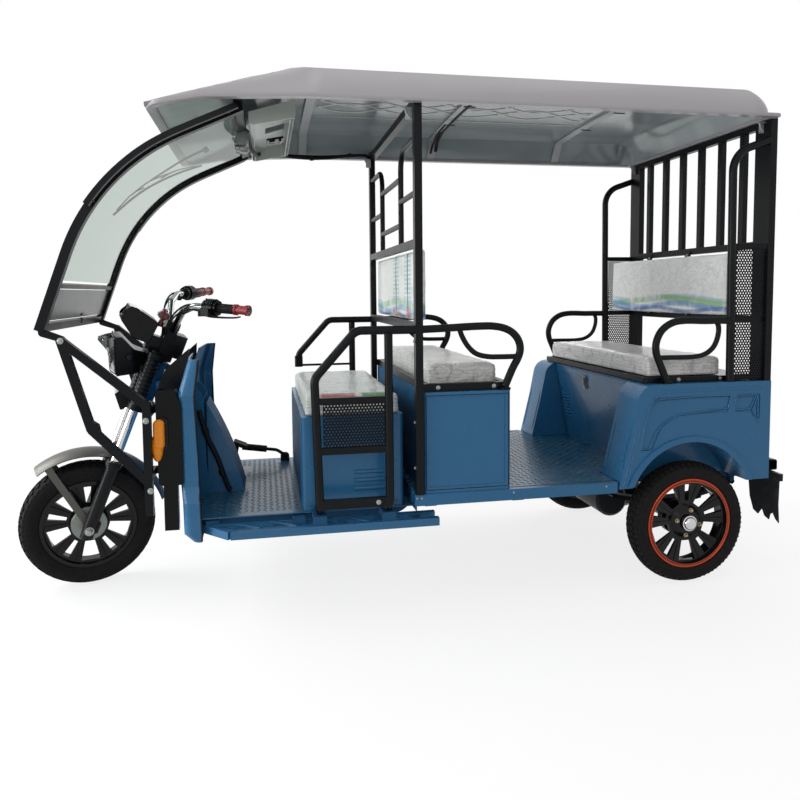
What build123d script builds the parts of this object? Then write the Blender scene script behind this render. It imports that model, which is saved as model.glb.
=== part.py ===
from build123d import *
import math
import os

# Three-wheeled electric passenger rickshaw. Millimetres, +X forward, +Y to its left, +Z up,
# with the origin on the ground under the middle of the whole vehicle.

# Driving dimensions
WHEELBASE = 2142.0
FRONT_AXLE_X = 1170.0
REAR_AXLE_X = FRONT_AXLE_X - WHEELBASE
REAR_TRACK_HALF = 440.0
FRONT_TYRE_R = 232.0
REAR_TYRE_R = 221.0
TYRE_HALF_WIDTH = 45.0
TYRE_CROWN_R = 60.0
RIM_R = 163.0
REAR_END_X = -1396.5

RAKE = 21.5
TRAIL_OFFSET = 35.0
STEER_AT_REST = 14.0

DRIVER_FLOOR_Z = 335.0
FLOOR_Z = 392.0
SEAT_Z = 731.0
SEAT_RAIL_TOP_Z = 757.0
BODY_HALF_Y = 489.0
BOX_HALF_Y = 483.0
CABIN_HALF_Y = 463.0
SHEET = 6.0
RAIL_Y = 480.0
RAIL_D = 28.0
POST_X = (13.0, 38.0)
POST_Y = (463.0, 493.0)

ROOF_HALF_Y = 519.0
ROOF_WALL_HALF_Y = 507.0
ROOF_TOP_HALF_Y = 450.0
ROOF_RIM_Z = 1662.0
ROOF_TOP_Z = 1768.0
ROOF_CROWN = 16.0
ROOF_WALL = 10.0
ROOF_FRONT_X = 855.0
ROOF_CREASE_X = 351.0
ROOF_REAR_X = -1272.0

# Steering geometry: the axis leans back by RAKE and runs TRAIL_OFFSET behind the axle
rake = math.radians(RAKE)
turn = math.radians(STEER_AT_REST)
lean = math.asin(math.sin(rake) * math.sin(turn))
turned_drop = TRAIL_OFFSET * math.sin(rake) * (1 - math.cos(turn))
FRONT_AXLE_Z = (FRONT_TYRE_R - TYRE_CROWN_R) * math.cos(lean) + TYRE_CROWN_R + turned_drop
UP_AXIS = Vector(-math.sin(rake), 0, math.cos(rake))
FORWARD = Vector(math.cos(rake), 0, math.sin(rake))
FRONT_AXLE = Vector(FRONT_AXLE_X, 0, FRONT_AXLE_Z)
AXIS_POINT = FRONT_AXLE - FORWARD * TRAIL_OFFSET
STEERING_AXIS = Axis(tuple(AXIS_POINT), tuple(UP_AXIS))
# In the fork's own frame x runs forward of the legs, y to the left and z up along them
FORK = Plane(origin=tuple(FRONT_AXLE), x_dir=tuple(FORWARD), z_dir=tuple(UP_AXIS)).location
STANDING = (Align.CENTER, Align.CENTER, Align.MIN)
SQUARE_TO_Y = Rot(90, 0, 0)


def block(x, y, z):
    """A box between two corners, each side given as a pair of ends."""
    size = [abs(pair[1] - pair[0]) for pair in (x, y, z)]
    middle = [(pair[0] + pair[1]) / 2 for pair in (x, y, z)]
    return Pos(*middle) * Box(*size)


def outline_face(rows):
    """A closed face from rows of (u, v) or (u, v, corner radius), one row a corner."""
    corners = [(row[0], row[1], row[2] if len(row) > 2 else 0.0) for row in rows]
    arcs = []
    for i, (u, v, radius) in enumerate(corners):
        here = Vector(u, v)
        back = (Vector(*corners[i - 1][:2]) - here).normalized()
        ahead = (Vector(*corners[(i + 1) % len(corners)][:2]) - here).normalized()
        half = math.radians(back.get_angle(ahead)) / 2
        reach = radius / math.tan(half)
        middle = here + (back + ahead).normalized() * (radius / math.sin(half) - radius)
        arcs.append((here + back * reach, middle, here + ahead * reach))
    edges = []
    for i, (start, middle, end) in enumerate(arcs):
        if corners[i][2]:
            edges.append(ThreePointArc(start, middle, end))
        edges.append(Line(end, arcs[(i + 1) % len(arcs)][0]))
    return make_face(edges)


def across_y(face, y):
    """A face drawn in X and Z, made solid between two values of y."""
    return extrude(Plane(origin=(0, y[0], 0), x_dir=(1, 0, 0), z_dir=(0, -1, 0)) * face, amount=y[0] - y[1])


def plate(rows, y):
    return across_y(outline_face(rows), y)


def across_x(rows, x):
    """An outline drawn in Y and Z, made solid between two values of x."""
    face = Plane(origin=(x[0], 0, 0), x_dir=(0, 1, 0), z_dir=(1, 0, 0)) * outline_face(rows)
    return extrude(face, amount=x[1] - x[0])


def across_z(rows, z):
    """An outline drawn in X and Y, made solid between two heights."""
    return extrude(Pos(0, 0, z[0]) * outline_face(rows), amount=z[1] - z[0])


def rod(points, diameter, bend=0.0):
    """A round tube along straight runs joined by bends of one radius."""
    path = Polyline(*points) if len(points) == 2 else FilletPolyline(*points, radius=bend)
    return sweep((path ^ 0) * Circle(diameter / 2), path=path)


def bar(start, end, width, depth, side=(0, 1, 0)):
    """A straight rectangular tube. Its width lies along side, its depth square to that."""
    run = Vector(*end) - Vector(*start)
    plane = Plane(origin=start, x_dir=side, z_dir=tuple(run))
    return extrude(plane * Rectangle(width, depth), amount=run.length)


def barrel(x, z, radius, y):
    """A round drum square to Y."""
    return Pos(x, y[1], z) * SQUARE_TO_Y * Cylinder(radius, y[1] - y[0], align=STANDING)


def fused(solids):
    whole = solids[0]
    for solid in solids[1:]:
        whole = whole + solid
    return whole


def other_side(solid):
    return mirror(solid, about=Plane.XZ)


def both_sides(solids):
    return list(solids) + [other_side(solid) for solid in solids]


def steered(solids):
    """Turns pieces of the steering from straight ahead to how the vehicle is parked."""
    return [solid.rotate(STEERING_AXIS, STEER_AT_REST) for solid in solids]


# Chassis: two rails that step up behind the driver's floor, joined by cross members
CHASSIS_RAIL_Y = (278.0, 322.0)
CHASSIS_FRONT_X = 735.0
CHASSIS_REAR_X = -1340.0
CHASSIS_LOW_Z = 285.0
CHASSIS_HIGH_Z = 340.0
RAIL_TALL = 46.0
CROSS_TALL = 40.0
CROSS_WIDE = 40.0
CROSS_MEMBERS = [  # x, underside z, half width
    (700.0, 285.0, 405.0), (420.0, 285.0, 440.0), (120.0, 285.0, 440.0), (-20.0, 340.0, 450.0),
    (-330.0, 340.0, 450.0), (-640.0, 340.0, 450.0), (-880.0, 340.0, 330.0), (-1250.0, 340.0, 330.0),
]
RAIL_FOOT_X = (126.0, 355.0)
RAIL_FOOT_Z = 337.0
HEAD_TUBE_ALONG = (493.0, 638.0)
HEAD_TUBE_R = 27.0
STEM_R = 14.0
HEAD_BORE_R = 15.0
SPRING_Y = (279.0, 321.0)
SPRING_REACH = 282.0
SPRING_EYE_X = (REAR_AXLE_X - SPRING_REACH, REAR_AXLE_X + SPRING_REACH)


def chassis_frame():
    low, high = CHASSIS_LOW_Z, CHASSIS_HIGH_Z
    rail = plate([(CHASSIS_FRONT_X, low), (60, low, 60), (-5, high, 60), (CHASSIS_REAR_X, high),
                  (CHASSIS_REAR_X, high + RAIL_TALL), (-20, high + RAIL_TALL, 60),
                  (45, low + RAIL_TALL, 60), (CHASSIS_FRONT_X, low + RAIL_TALL)], CHASSIS_RAIL_Y)
    hangers = [block((x - 9, x + 9), SPRING_Y, (318, high + 10)) for x in SPRING_EYE_X]
    bumper_plate = block((CHASSIS_REAR_X, CHASSIS_REAR_X + 8), (270, 299), (high, 412))
    rails = both_sides([fused([rail, bumper_plate] + hangers)])
    head = FORK * Pos(-TRAIL_OFFSET, 0, HEAD_TUBE_ALONG[0]) * Cylinder(
        HEAD_TUBE_R, HEAD_TUBE_ALONG[1] - HEAD_TUBE_ALONG[0], align=STANDING)
    neck = rod([(905, 0, 745), (835, 0, 520), (690, 0, 305)], 2 * HEAD_TUBE_R, 220)
    bore = FORK * Pos(-TRAIL_OFFSET, 0, 400) * Cylinder(HEAD_BORE_R, 400, align=STANDING)
    return rails + [(head + neck) - bore]


def cross_members():
    """Square tubes between and outside the rails, with two outriggers each side for the hand rails."""
    half_wide = CROSS_WIDE / 2
    members = [block((x - half_wide, x + half_wide), (-half, half), (z, z + CROSS_TALL))
               for x, z, half in CROSS_MEMBERS]
    outriggers = [block((x - 22, x + 22), (320, RAIL_Y - 4), (300, RAIL_FOOT_Z)) for x in RAIL_FOOT_X]
    return [fused(members + both_sides(outriggers))]


FLOOR_FRONT_X = 762.0
APRON_FLOOR_HALF_Y = 426.0
RISER_X = 31.0
FLOOR_NARROWS_X = -682.0
BULKHEAD_FOOT_X = -865.0


def floor_plates():
    driver = block((RISER_X, FLOOR_FRONT_X), (-405, 405), (DRIVER_FLOOR_Z - 4, DRIVER_FLOOR_Z))
    toe_board = block((732, FLOOR_FRONT_X), (-APRON_FLOOR_HALF_Y, APRON_FLOOR_HALF_Y),
                      (DRIVER_FLOOR_Z - 4, DRIVER_FLOOR_Z))
    riser = block((RISER_X, RISER_X + 4), (-CABIN_HALF_Y, CABIN_HALF_Y), (DRIVER_FLOOR_Z - 4, FLOOR_Z))
    cabin = block((FLOOR_NARROWS_X, RISER_X), (-CABIN_HALF_Y, CABIN_HALF_Y), (FLOOR_Z - SHEET, FLOOR_Z))
    foot_room = block((BULKHEAD_FOOT_X, FLOOR_NARROWS_X), (-340, 340), (FLOOR_Z - SHEET, FLOOR_Z))
    sill = block((FLOOR_NARROWS_X, 42), (CABIN_HALF_Y, BODY_HALF_Y), (354, FLOOR_Z))
    return [fused([driver, toe_board, riser, cabin, foot_room] + both_sides([sill]))]


STEP_RUNG_X = [640.0, 520.0, 400.0, 280.0, 160.0, 30.0]
STEP_OUTER_Y = 470.0


def side_steps():
    outer = rod_square([(728, 385, 299), (640, STEP_OUTER_Y, 295), (-42, STEP_OUTER_Y, 295)], 26, 24)
    pieces = [outer, block((-42, 700), (405, 415), (284, 310))]
    for x in STEP_RUNG_X:
        pieces.append(block((x - 14, x + 14), (405, 462), (288, 304)))
    return both_sides([fused(pieces)])


def rod_square(points, width, depth):
    """Straight square runs, each corner closed by the next run."""
    return fused([bar(start, end, width, depth, side=(0, 0, 1)) for start, end in zip(points, points[1:])])


# Leg shield: a double-curved tray open to the rear, with a shoulder, a waist and a flared foot
APRON_SHEET = 5.0
APRON_BOW = 12.0
APRON_CORNER = 26.0
APRON_SECTIONS = [  # height, rear edge x, front corner x, half width
    (262.0, 733.0, 762.0, 422.0), (290.0, 732.0, 788.0, 430.0), (392.0, 735.0, 790.0, 428.0),
    (440.0, 739.0, 796.0, 404.0), (716.0, 745.0, 797.0, 404.0), (738.0, 745.0, 798.0, 414.0),
    (852.0, 731.0, 764.0, 402.0),
]
SPINE_HALF_Y = 92.0
SPINE_SHEET = 4.0
SPINE_FRONT_X = 815.0


def apron_section(z, edge_x, corner_x, half, inset):
    """One level of the shield: straight flanges, round corners and a bowed front."""
    half, corner_x = half - inset, corner_x - inset
    edge_x = edge_x - 2 * inset
    corner = APRON_CORNER - inset
    shoulder = corner * (1 - math.sqrt(0.5))
    near, far = half - corner, corner - half
    flank_x = corner_x - corner
    edges = [
        Line((edge_x, -half), (flank_x, -half)),
        ThreePointArc((flank_x, -half), (corner_x - shoulder, shoulder - half), (corner_x, far)),
        ThreePointArc((corner_x, far), (corner_x + APRON_BOW, 0), (corner_x, near)),
        ThreePointArc((corner_x, near), (corner_x - shoulder, half - shoulder), (flank_x, half)),
        Line((flank_x, half), (edge_x, half)), Line((edge_x, half), (edge_x, -half))]
    return Pos(0, 0, z) * make_face(edges)


def spine_profile(inset):
    """The cover over the steering column's foot: its rear edge is one long arc down to the floor."""
    top, middle, foot = (766.0 - inset, 722.0), (699.0 + inset, 601.0 - inset), (603.0 + inset, DRIVER_FLOOR_Z)
    face = make_face([ThreePointArc(top, middle, foot), Line(foot, (SPINE_FRONT_X, DRIVER_FLOOR_Z)),
                      Line((SPINE_FRONT_X, DRIVER_FLOOR_Z), (SPINE_FRONT_X, 722)), Line((SPINE_FRONT_X, 722), top)])
    return across_y(face, (inset - SPINE_HALF_Y, SPINE_HALF_Y - inset))


def front_apron():
    outer = loft([apron_section(*row, 0.0) for row in APRON_SECTIONS], ruled=True)
    inner_rows = [(APRON_SECTIONS[0][0] + APRON_SHEET,) + APRON_SECTIONS[0][1:]] + APRON_SECTIONS[1:-1]
    inner_rows.append((APRON_SECTIONS[-1][0] + 1,) + APRON_SECTIONS[-1][1:])
    tray = outer - loft([apron_section(*row, APRON_SHEET) for row in inner_rows], ruled=True)
    spine = (spine_profile(0.0) & outer_room()) - spine_profile(SPINE_SHEET)
    shield = tray + spine
    notch = across_x([(-152, 905), (-108, 796, 24), (108, 796, 24), (152, 905)], (650, 900))
    return [shield - notch]


def outer_room():
    """Everything behind the shield's bowed face, a little inside it."""
    room = [block((560, 733), (-200, 200), (300, 760)), loft(
        [apron_section(*row, 1.0) for row in APRON_SECTIONS], ruled=True)]
    return fused(room)


FIN_Y = (150.0, 156.0)


def steering_cowl():
    fin = plate([(782, 871), (865, 799, 30), (896, 725, 8), (872, 694, 8), (790, 694)], FIN_Y)
    bridge = block((806, 818), (-FIN_Y[0], FIN_Y[0]), (700, 706))
    return [fused(both_sides([fin - outer_room()]) + [bridge])]


POD_Y = (350.0, 405.0)


def front_side_pods():
    pod = plate([(866, 758, 12), (806, 758, 8), (786, 700), (786, 450, 8), (862, 450, 14)], POD_Y)
    foot = block((804, 849), (370, 396), (300, 470))
    return both_sides([(pod - outer_room()) + foot])


def front_indicators():
    base = plate([(858, 672, 13), (828, 672, 13), (828, 568, 13), (858, 568, 13)], (POD_Y[1], POD_Y[1] + 8))
    lens = plate([(872, 667, 15), (838, 667, 15), (838, 573, 15), (872, 573, 15)], (POD_Y[1] + 8, POD_Y[1] + 24))
    lens = chamfer(lens.faces().sort_by(Axis.Y)[-1].edges(), 5)
    return both_sides([base + lens])


# Windshield: its side tubes rise and bow back under the roof on one large bend
STAND_Y = 427.0
STAND_TUBE = 25.0
STAND_POST_X = 888.0
SCREEN_HALF_Y = 420.0
SCREEN_TUBE = 28.0
SCREEN_LINE = [(1195, 953), (1018, 1448), (575, 1649)]
SCREEN_BEND = 650.0
ARM_Y = 450.0
ARM_TUBE = 18.0


def screen_path(y):
    return FilletPolyline(*[(x, y, z) for x, z in SCREEN_LINE], radius=SCREEN_BEND)


def windshield_stand():
    half = STAND_TUBE / 2
    side = (STAND_Y - half, STAND_Y + half)
    inside = [(1130, 923), (1052, 646, 60), (888, 470)]
    brace = [bar((a[0], STAND_Y, a[1]), (b[0], STAND_Y, b[1]), STAND_TUBE, STAND_TUBE)
             for a, b in zip(inside, inside[1:])]
    knee = plate([(1060, 682), (1068, 640, 20), (1022, 618), (1030, 660)], side)
    top_end = Pos(1130, STAND_Y, 923) * SQUARE_TO_Y * Cylinder(half, STAND_TUBE)
    pieces = brace + [knee, top_end,
                      bar((1130, STAND_Y, 923), (STAND_POST_X, STAND_Y, 714), STAND_TUBE, STAND_TUBE),
                      block((STAND_POST_X - half, STAND_POST_X + half), side, (364, 724))]
    for z in (490.0, 690.0):
        pieces.append(block((STAND_POST_X - half, STAND_POST_X + half), (337, STAND_Y), (z - 12, z + 12)))
        pieces.append(block((797, STAND_POST_X), (337, 349), (z - 12, z + 12)))
    return both_sides([fused(pieces)])


def windshield_frame():
    half = SCREEN_TUBE / 2
    reach = SCREEN_HALF_Y - half
    path = screen_path(reach)
    side = sweep((path ^ 0) * Rectangle(SCREEN_TUBE, SCREEN_TUBE), path=path)
    ear = plate([(1200, 966), (1196, 938, 12), (1118, 912, 9), (1122, 934, 9)],
                (STAND_Y - STAND_TUBE / 2 - 7, STAND_Y - STAND_TUBE / 2))
    arm_path = screen_path(ARM_Y)
    arm_start, arm_end = 0.42, 0.985
    arm_line = Spline(*[arm_path @ (arm_start + (arm_end - arm_start) * i / 6) for i in range(7)])
    arm = sweep((arm_line ^ 0) * Rectangle(ARM_TUBE, ARM_TUBE), path=arm_line)
    pieces = [side, ear, arm]
    for share in (0.44, 0.7, 0.95):
        spot = path @ share
        pieces.append(block((spot.X - 9, spot.X + 9), (reach, ARM_Y), (spot.Z - 7, spot.Z + 7)))
    return both_sides([fused(pieces)])


def windshield_bars():
    """Three bars across the screen's side tubes, and the one that hangs it from the roof."""
    reach = SCREEN_HALF_Y - SCREEN_TUBE / 2
    path = screen_path(reach)
    bars = []
    for share, tube, deep in ((0.012, 26.0, 18.0), (0.15, 14.0, 18.0), (0.988, 26.0, 18.0)):
        spot = path @ share
        bars.append(bar((spot.X, -reach, spot.Z), (spot.X, reach, spot.Z), tube, deep, side=tuple(path % share)))
    hanger_half = ROOF_WALL_HALF_Y - ROOF_WALL
    hanger = block((570, 600), (-hanger_half, hanger_half), (1655, 1685))
    return [fused(bars + [hanger])]


GLASS_HALF_Y = SCREEN_HALF_Y - SCREEN_TUBE - 1.0
GLASS_THICK = 5.0


def windshield_glass():
    """The bowed pane, and the flat one below the middle bar."""
    path = screen_path(0)
    start, end = 0.168, 0.968
    line = Spline(*[path @ (start + (end - start) * i / 8) for i in range(9)])
    section = Plane(origin=line @ 0, x_dir=(0, 1, 0), z_dir=line % 0) * Rectangle(2 * GLASS_HALF_Y, GLASS_THICK)
    low, high = path @ 0.033, path @ 0.137
    lower_pane = bar(tuple(low), tuple(high), 2 * GLASS_HALF_Y, GLASS_THICK)
    return [sweep(section, path=line), lower_pane]


def wiper():
    """The wiper's motor, hung inside the glass from the bar above it."""
    motor = plate([(602, 1640), (564, 1640), (560, 1604, 12), (592, 1586, 12), (604, 1606, 8)], (38, 118))
    gear = Pos(584, 26, 1608) * SQUARE_TO_Y * Cylinder(23, 28)
    return [motor + gear]


# Roof: a moulded shell with a flat crowned top, sloped sides, a long front slope and a rim flange
RIM_LINE = [(ROOF_FRONT_X, 1614), (692, 1646), (368, 1661), (12, ROOF_RIM_Z), (ROOF_REAR_X, ROOF_RIM_Z)]
RIM_TALL = 13.0
RIM_WIDE = 30.0


def roof_body(wall):
    """The roof's outer form, drawn in by a wall on every side but the open underside."""
    front, rear, top = ROOF_FRONT_X - wall, ROOF_REAR_X + 12 + wall, ROOF_TOP_Z + ROOF_CROWN - wall
    lengthwise = plate([(front, 1560), (front, 1628 - wall / 2), (ROOF_CREASE_X - wall / 3, top),
                        (rear + 34, top, 62), (rear, 1676), (rear, 1560)], (-600, 600))
    half, shoulder = ROOF_WALL_HALF_Y - wall, ROOF_TOP_HALF_Y - wall
    low, flat, eave = 1560, ROOF_TOP_Z - wall, ROOF_RIM_Z + 8
    across = make_face([
        Line((-half, low), (half, low)), Line((half, low), (half, eave)), Line((half, eave), (shoulder, flat)),
        ThreePointArc((shoulder, flat), (0, flat + ROOF_CROWN), (-shoulder, flat)),
        Line((-shoulder, flat), (-half, eave)), Line((-half, eave), (-half, low))])
    tunnel = extrude(Plane(origin=(ROOF_REAR_X, 0, 0), x_dir=(0, 1, 0), z_dir=(1, 0, 0)) * across, amount=2200)
    return lengthwise & tunnel


def roof_shell():
    hollow = roof_body(0) - roof_body(ROOF_WALL)
    beyond = 20.0
    below = plate([(ROOF_FRONT_X + beyond, 1610)] + RIM_LINE[1:4] + [(ROOF_REAR_X - beyond, ROOF_RIM_Z)]
                  + [(ROOF_REAR_X - beyond, 1500), (ROOF_FRONT_X + beyond, 1500)], (-620, 620))
    band = plate(RIM_LINE + [(x, z + RIM_TALL) for x, z in reversed(RIM_LINE)], (-ROOF_HALF_Y, ROOF_HALF_Y))
    opening = block((ROOF_REAR_X + RIM_WIDE, ROOF_FRONT_X - RIM_WIDE),
                    (RIM_WIDE - ROOF_HALF_Y, ROOF_HALF_Y - RIM_WIDE), (1500, 1700))
    return [(hollow - below) + (band - opening)]


RIB_WIDE = 34.0
RIB_DEEP = 9.0
ROOF_BOWS_X = [-250.0, -855.0, 335.0]


def roof_bows():
    layer = roof_body(ROOF_WALL) - roof_body(ROOF_WALL + RIB_DEEP)
    bows = []
    for x in ROOF_BOWS_X:
        bows.append(layer & block((x - RIB_WIDE / 2, x + RIB_WIDE / 2), (-600, 600), (ROOF_RIM_Z + RIM_TALL, 1800)))
    return bows


def overhead_console():
    panel = plate([(404, 1640, 14), (404, 1700), (556, 1654), (556, 1610, 14)], (-330, 330))
    room = plate([(409, 1636), (409, 1694), (551, 1649), (551, 1600)], (-325, 325))
    switch_hole = block((430, 500), (-45, 45), (1560, 1760))
    return [panel - (room & block((380, 580), (-340, 340), (1560, 1700))) - switch_hole]


ROOF_WIRE_D = 9.0


def roof_wiring():
    """The loom taped along the front bow, from the console to the far eave and back along it."""
    loom = rod([(318, -60, 1752), (-222, -300, 1749), (-222, 330, 1752)], ROOF_WIRE_D, 60)
    return [loom]


# The frame behind the driver: two posts, three cross bars and a small ladder in the upper opening
LADDER_Y = 200.0
LADDER_TUBE = 20.0


def mid_frame():
    post = block(POST_X, POST_Y, (FLOOR_Z, 1690))
    pieces = both_sides([post])
    for low, high in ((1655, 1682), (1208, 1234), (936, 962)):
        pieces.append(block(POST_X, (-POST_Y[0], POST_Y[0]), (low, high)))
    return [fused(pieces)]


def mid_ladder():
    mid_x = (POST_X[0] + POST_X[1]) / 2
    hook = rod([(mid_x, LADDER_Y, 1230), (mid_x, LADDER_Y, 1562), (mid_x, POST_Y[0] + 2, 1562)], LADDER_TUBE, 70)
    outer_rung = rod([(mid_x, LADDER_Y, 1386), (mid_x, POST_Y[0] + 2, 1386)], LADDER_TUBE)
    pieces = both_sides([hook, outer_rung])
    for z in (1303.0, 1468.0):
        pieces.append(rod([(mid_x, -LADDER_Y, z), (mid_x, LADDER_Y, z)], LADDER_TUBE))
    return [fused(pieces)]


def backrests():
    front = plate([(13, 962, 10), (-13, 962, 10), (-13, 1208, 10), (13, 1208, 10)], (-440, 440))
    rear = plate([(-1126, 965, 10), (-1150, 965, 10), (-1154, 1197, 10), (-1130, 1197, 10)], (-430, 430))
    upper = [(-1254, 1186), (-1150, 1186), (-1150, 1192), (-1250, 1192), (-1250, 1224), (-1254, 1224)]
    lower = [(-1254, 950), (-1250, 950), (-1250, 976), (-1148, 976), (-1148, 982), (-1254, 982)]
    brackets = [plate(rows, (y - 20, y + 20)) for y in (-300, 0, 300) for rows in (upper, lower)]
    return [front, fused([rear] + brackets)]


# Seats
FRONT_SEAT_X = (-291.0, 10.0)
DRIVER_BOX_X = (62.0, 407.0)
DRIVER_BOX_HALF_Y = 395.0
DRIVER_BOX_TOP = 650.0
PANEL_DEEP = 3.0
LOUVRES = (458.0, 430.0, 402.0)


def hollow_box(x, y, z, wall=5.0):
    """A sheet metal box, open underneath."""
    inside = block((x[0] + wall, x[1] - wall), (y[0] + wall, y[1] - wall), (z[0] - 1, z[1] - wall))
    return fillet(block(x, y, z).edges().filter_by(Axis.Z), 12) - inside


def front_seat_box():
    box = hollow_box(FRONT_SEAT_X, (-BOX_HALF_Y, BOX_HALF_Y), (FLOOR_Z, SEAT_Z), 8.0)
    for side in (1, -1):
        face = sorted((side * (BOX_HALF_Y - PANEL_DEEP), side * (BOX_HALF_Y + 5)))
        box = box - plate([(-3, 716, 6), (-271, 716, 6), (-271, 413, 6), (-3, 413, 6)], face)
    return [box]


def front_seat_rail():
    rail = block((FRONT_SEAT_X[0], POST_X[0]), (440, RAIL_Y - RAIL_D / 2), (SEAT_Z, SEAT_RAIL_TOP_Z))
    ends = block((FRONT_SEAT_X[0], FRONT_SEAT_X[0] + 24), (-450, 450), (SEAT_Z, SEAT_RAIL_TOP_Z))
    front = block((-12, 8), (-450, 450), (SEAT_Z, SEAT_RAIL_TOP_Z))
    return [fused(both_sides([rail]) + [ends, front])]


def front_cushion():
    cushion = block((-266, -14), (-438, 438), (SEAT_Z, 822))
    return [fillet(cushion.edges().filter_by(Axis.Z), 30)]


def driver_seat_box():
    box = hollow_box(DRIVER_BOX_X, (-DRIVER_BOX_HALF_Y, DRIVER_BOX_HALF_Y), (DRIVER_FLOOR_Z, DRIVER_BOX_TOP))
    for z in LOUVRES:
        for side in (1, -1):
            box = box + Pos(179, side * (DRIVER_BOX_HALF_Y + 1), z) * Rot(0, 90, 0) * Cylinder(7, 106)
    return [box - block((DRIVER_BOX_X[0] + 5, DRIVER_BOX_X[1] - 5), (-390, 390), (330, DRIVER_BOX_TOP - 5))]


def driver_cushion():
    cushion = block((66, 400), (-388, 388), (DRIVER_BOX_TOP, 722))
    return [fillet(cushion.edges().filter_by(Axis.Z), 30)]


# Tubular hand rails beside the driver
RAIL_CROOK = (232.0, 940.0)
RAIL_SHOULDER = (367.0, 788.0)


def side_rail_left():
    """The rail with its frame for the mesh; its two legs bend in under the box and stand on the chassis."""
    foot_z = RAIL_FOOT_Z + RAIL_D / 2 - 2
    front_x, rear_x = RAIL_FOOT_X[1], RAIL_FOOT_X[0]
    top = rod([(POST_X[1], RAIL_Y, RAIL_CROOK[1]), (RAIL_CROOK[0], RAIL_Y, RAIL_CROOK[1]),
               (RAIL_SHOULDER[0], RAIL_Y, RAIL_SHOULDER[1]), (front_x, RAIL_Y, foot_z),
               (front_x, 412, foot_z)], RAIL_D, 42)
    rear = rod([(rear_x, RAIL_Y, 930), (rear_x, RAIL_Y, foot_z), (rear_x, 412, foot_z)], RAIL_D, 34)
    pieces = [top, rear]
    for low, high in ((362, 392), (541, 563), (704, 726)):
        pieces.append(block((rear_x, front_x), (RAIL_Y - 9, RAIL_Y + 9), (low, high)))
    return [fused(pieces)]


def side_rail_right():
    """On this side the rail stops short: its end sits in a sleeve, tied back by a thin rod."""
    top = rod([(POST_X[1], -RAIL_Y, RAIL_CROOK[1]), (RAIL_CROOK[0], -RAIL_Y, RAIL_CROOK[1]),
               (RAIL_SHOULDER[0] + 2, -RAIL_Y, 788), (RAIL_SHOULDER[0] + 2, -RAIL_Y, 742)], RAIL_D, 42)
    sleeve = Pos(RAIL_SHOULDER[0] + 2, -RAIL_Y, 731) * Cylinder(18, 49, align=STANDING)
    rear = rod([(RAIL_FOOT_X[0], -RAIL_Y, 930), (RAIL_FOOT_X[0], -RAIL_Y, 350),
                (RAIL_FOOT_X[0], -412, 350)], RAIL_D, 34)
    tie = rod([(RAIL_FOOT_X[0], -RAIL_Y, 738), (RAIL_SHOULDER[0], -RAIL_Y, 738)], 10)
    return [fused([top, sleeve, rear, tie])]


# Arm rests: an outer hoop from the post to the seat rail and an inner loop, in X and Z
MID_ARM_OUTER = [(13, 940), (-255, 948), (-332, 866), (-272, 736)]
MID_ARM_INNER = [(-96, 944), (-112, 886), (-172, 843), (-318, 843)]
REAR_ARM_OUTER = [(-1122, 956), (-850, 957), (-796, 880), (-872, 733)]
REAR_ARM_INNER = [(-1070, 950), (-1056, 890), (-1000, 836), (-838, 836)]
ARM_TUBE_D = 26.0


def arm_rest(outer, inner, foot_x):
    hoop = rod([(x, RAIL_Y, z) for x, z in outer], ARM_TUBE_D, 42)
    loop = rod([(x, RAIL_Y, z) for x, z in inner], 18, 34)
    foot = block((foot_x - 16, foot_x + 16), (RAIL_Y - 14, RAIL_Y + 12), (SEAT_Z, SEAT_Z + 8))
    return both_sides([fused([hoop, loop, foot])])


def mid_armrests():
    return arm_rest(MID_ARM_OUTER, MID_ARM_INNER, -272)


def rear_armrests():
    return arm_rest(REAR_ARM_OUTER, REAR_ARM_INNER, -872)


MESH_THICK = 2.0
HAND_RAIL_X = -1121.0


def mesh_panels():
    half = MESH_THICK / 2
    rail_panel = block((RAIL_FOOT_X[0] + 13, RAIL_FOOT_X[1] - 13), (RAIL_Y - half, RAIL_Y + half), (563, 704))
    cage = block((-1254, HAND_RAIL_X - 13), (475 - half, 475 + half), (SEAT_Z + 4, 1206))
    return [rail_panel] + both_sides([cage])


# Rear body: a wheel box each side with its arch, joined by the bulkhead, the floor and the back
ARCH_X = -965.0
ARCH_Z = 283.0
ARCH_R = 239.0
WHEEL_BOX_Y = 345.0
WING_ROWS = [(-687.0, 366.0), (-737.0, 573.0, 200.0), (-768.0, SEAT_Z, 62.0)]
BODY_REAR_X = -1280.0
PANEL_ROWS = [(-819, 686, 12), (-1119, 686, 10), (-1108, 622, 10), (-905, 622, 44), (-846, 578, 30), (-812, 498, 8),
              (-764, 498, 12)]
SMALL_PANEL_ROWS = [(-1142, 686, 8), (-1236, 686, 8), (-1236, 580, 8), (-1194, 620, 30), (-1137, 622, 8)]


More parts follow.
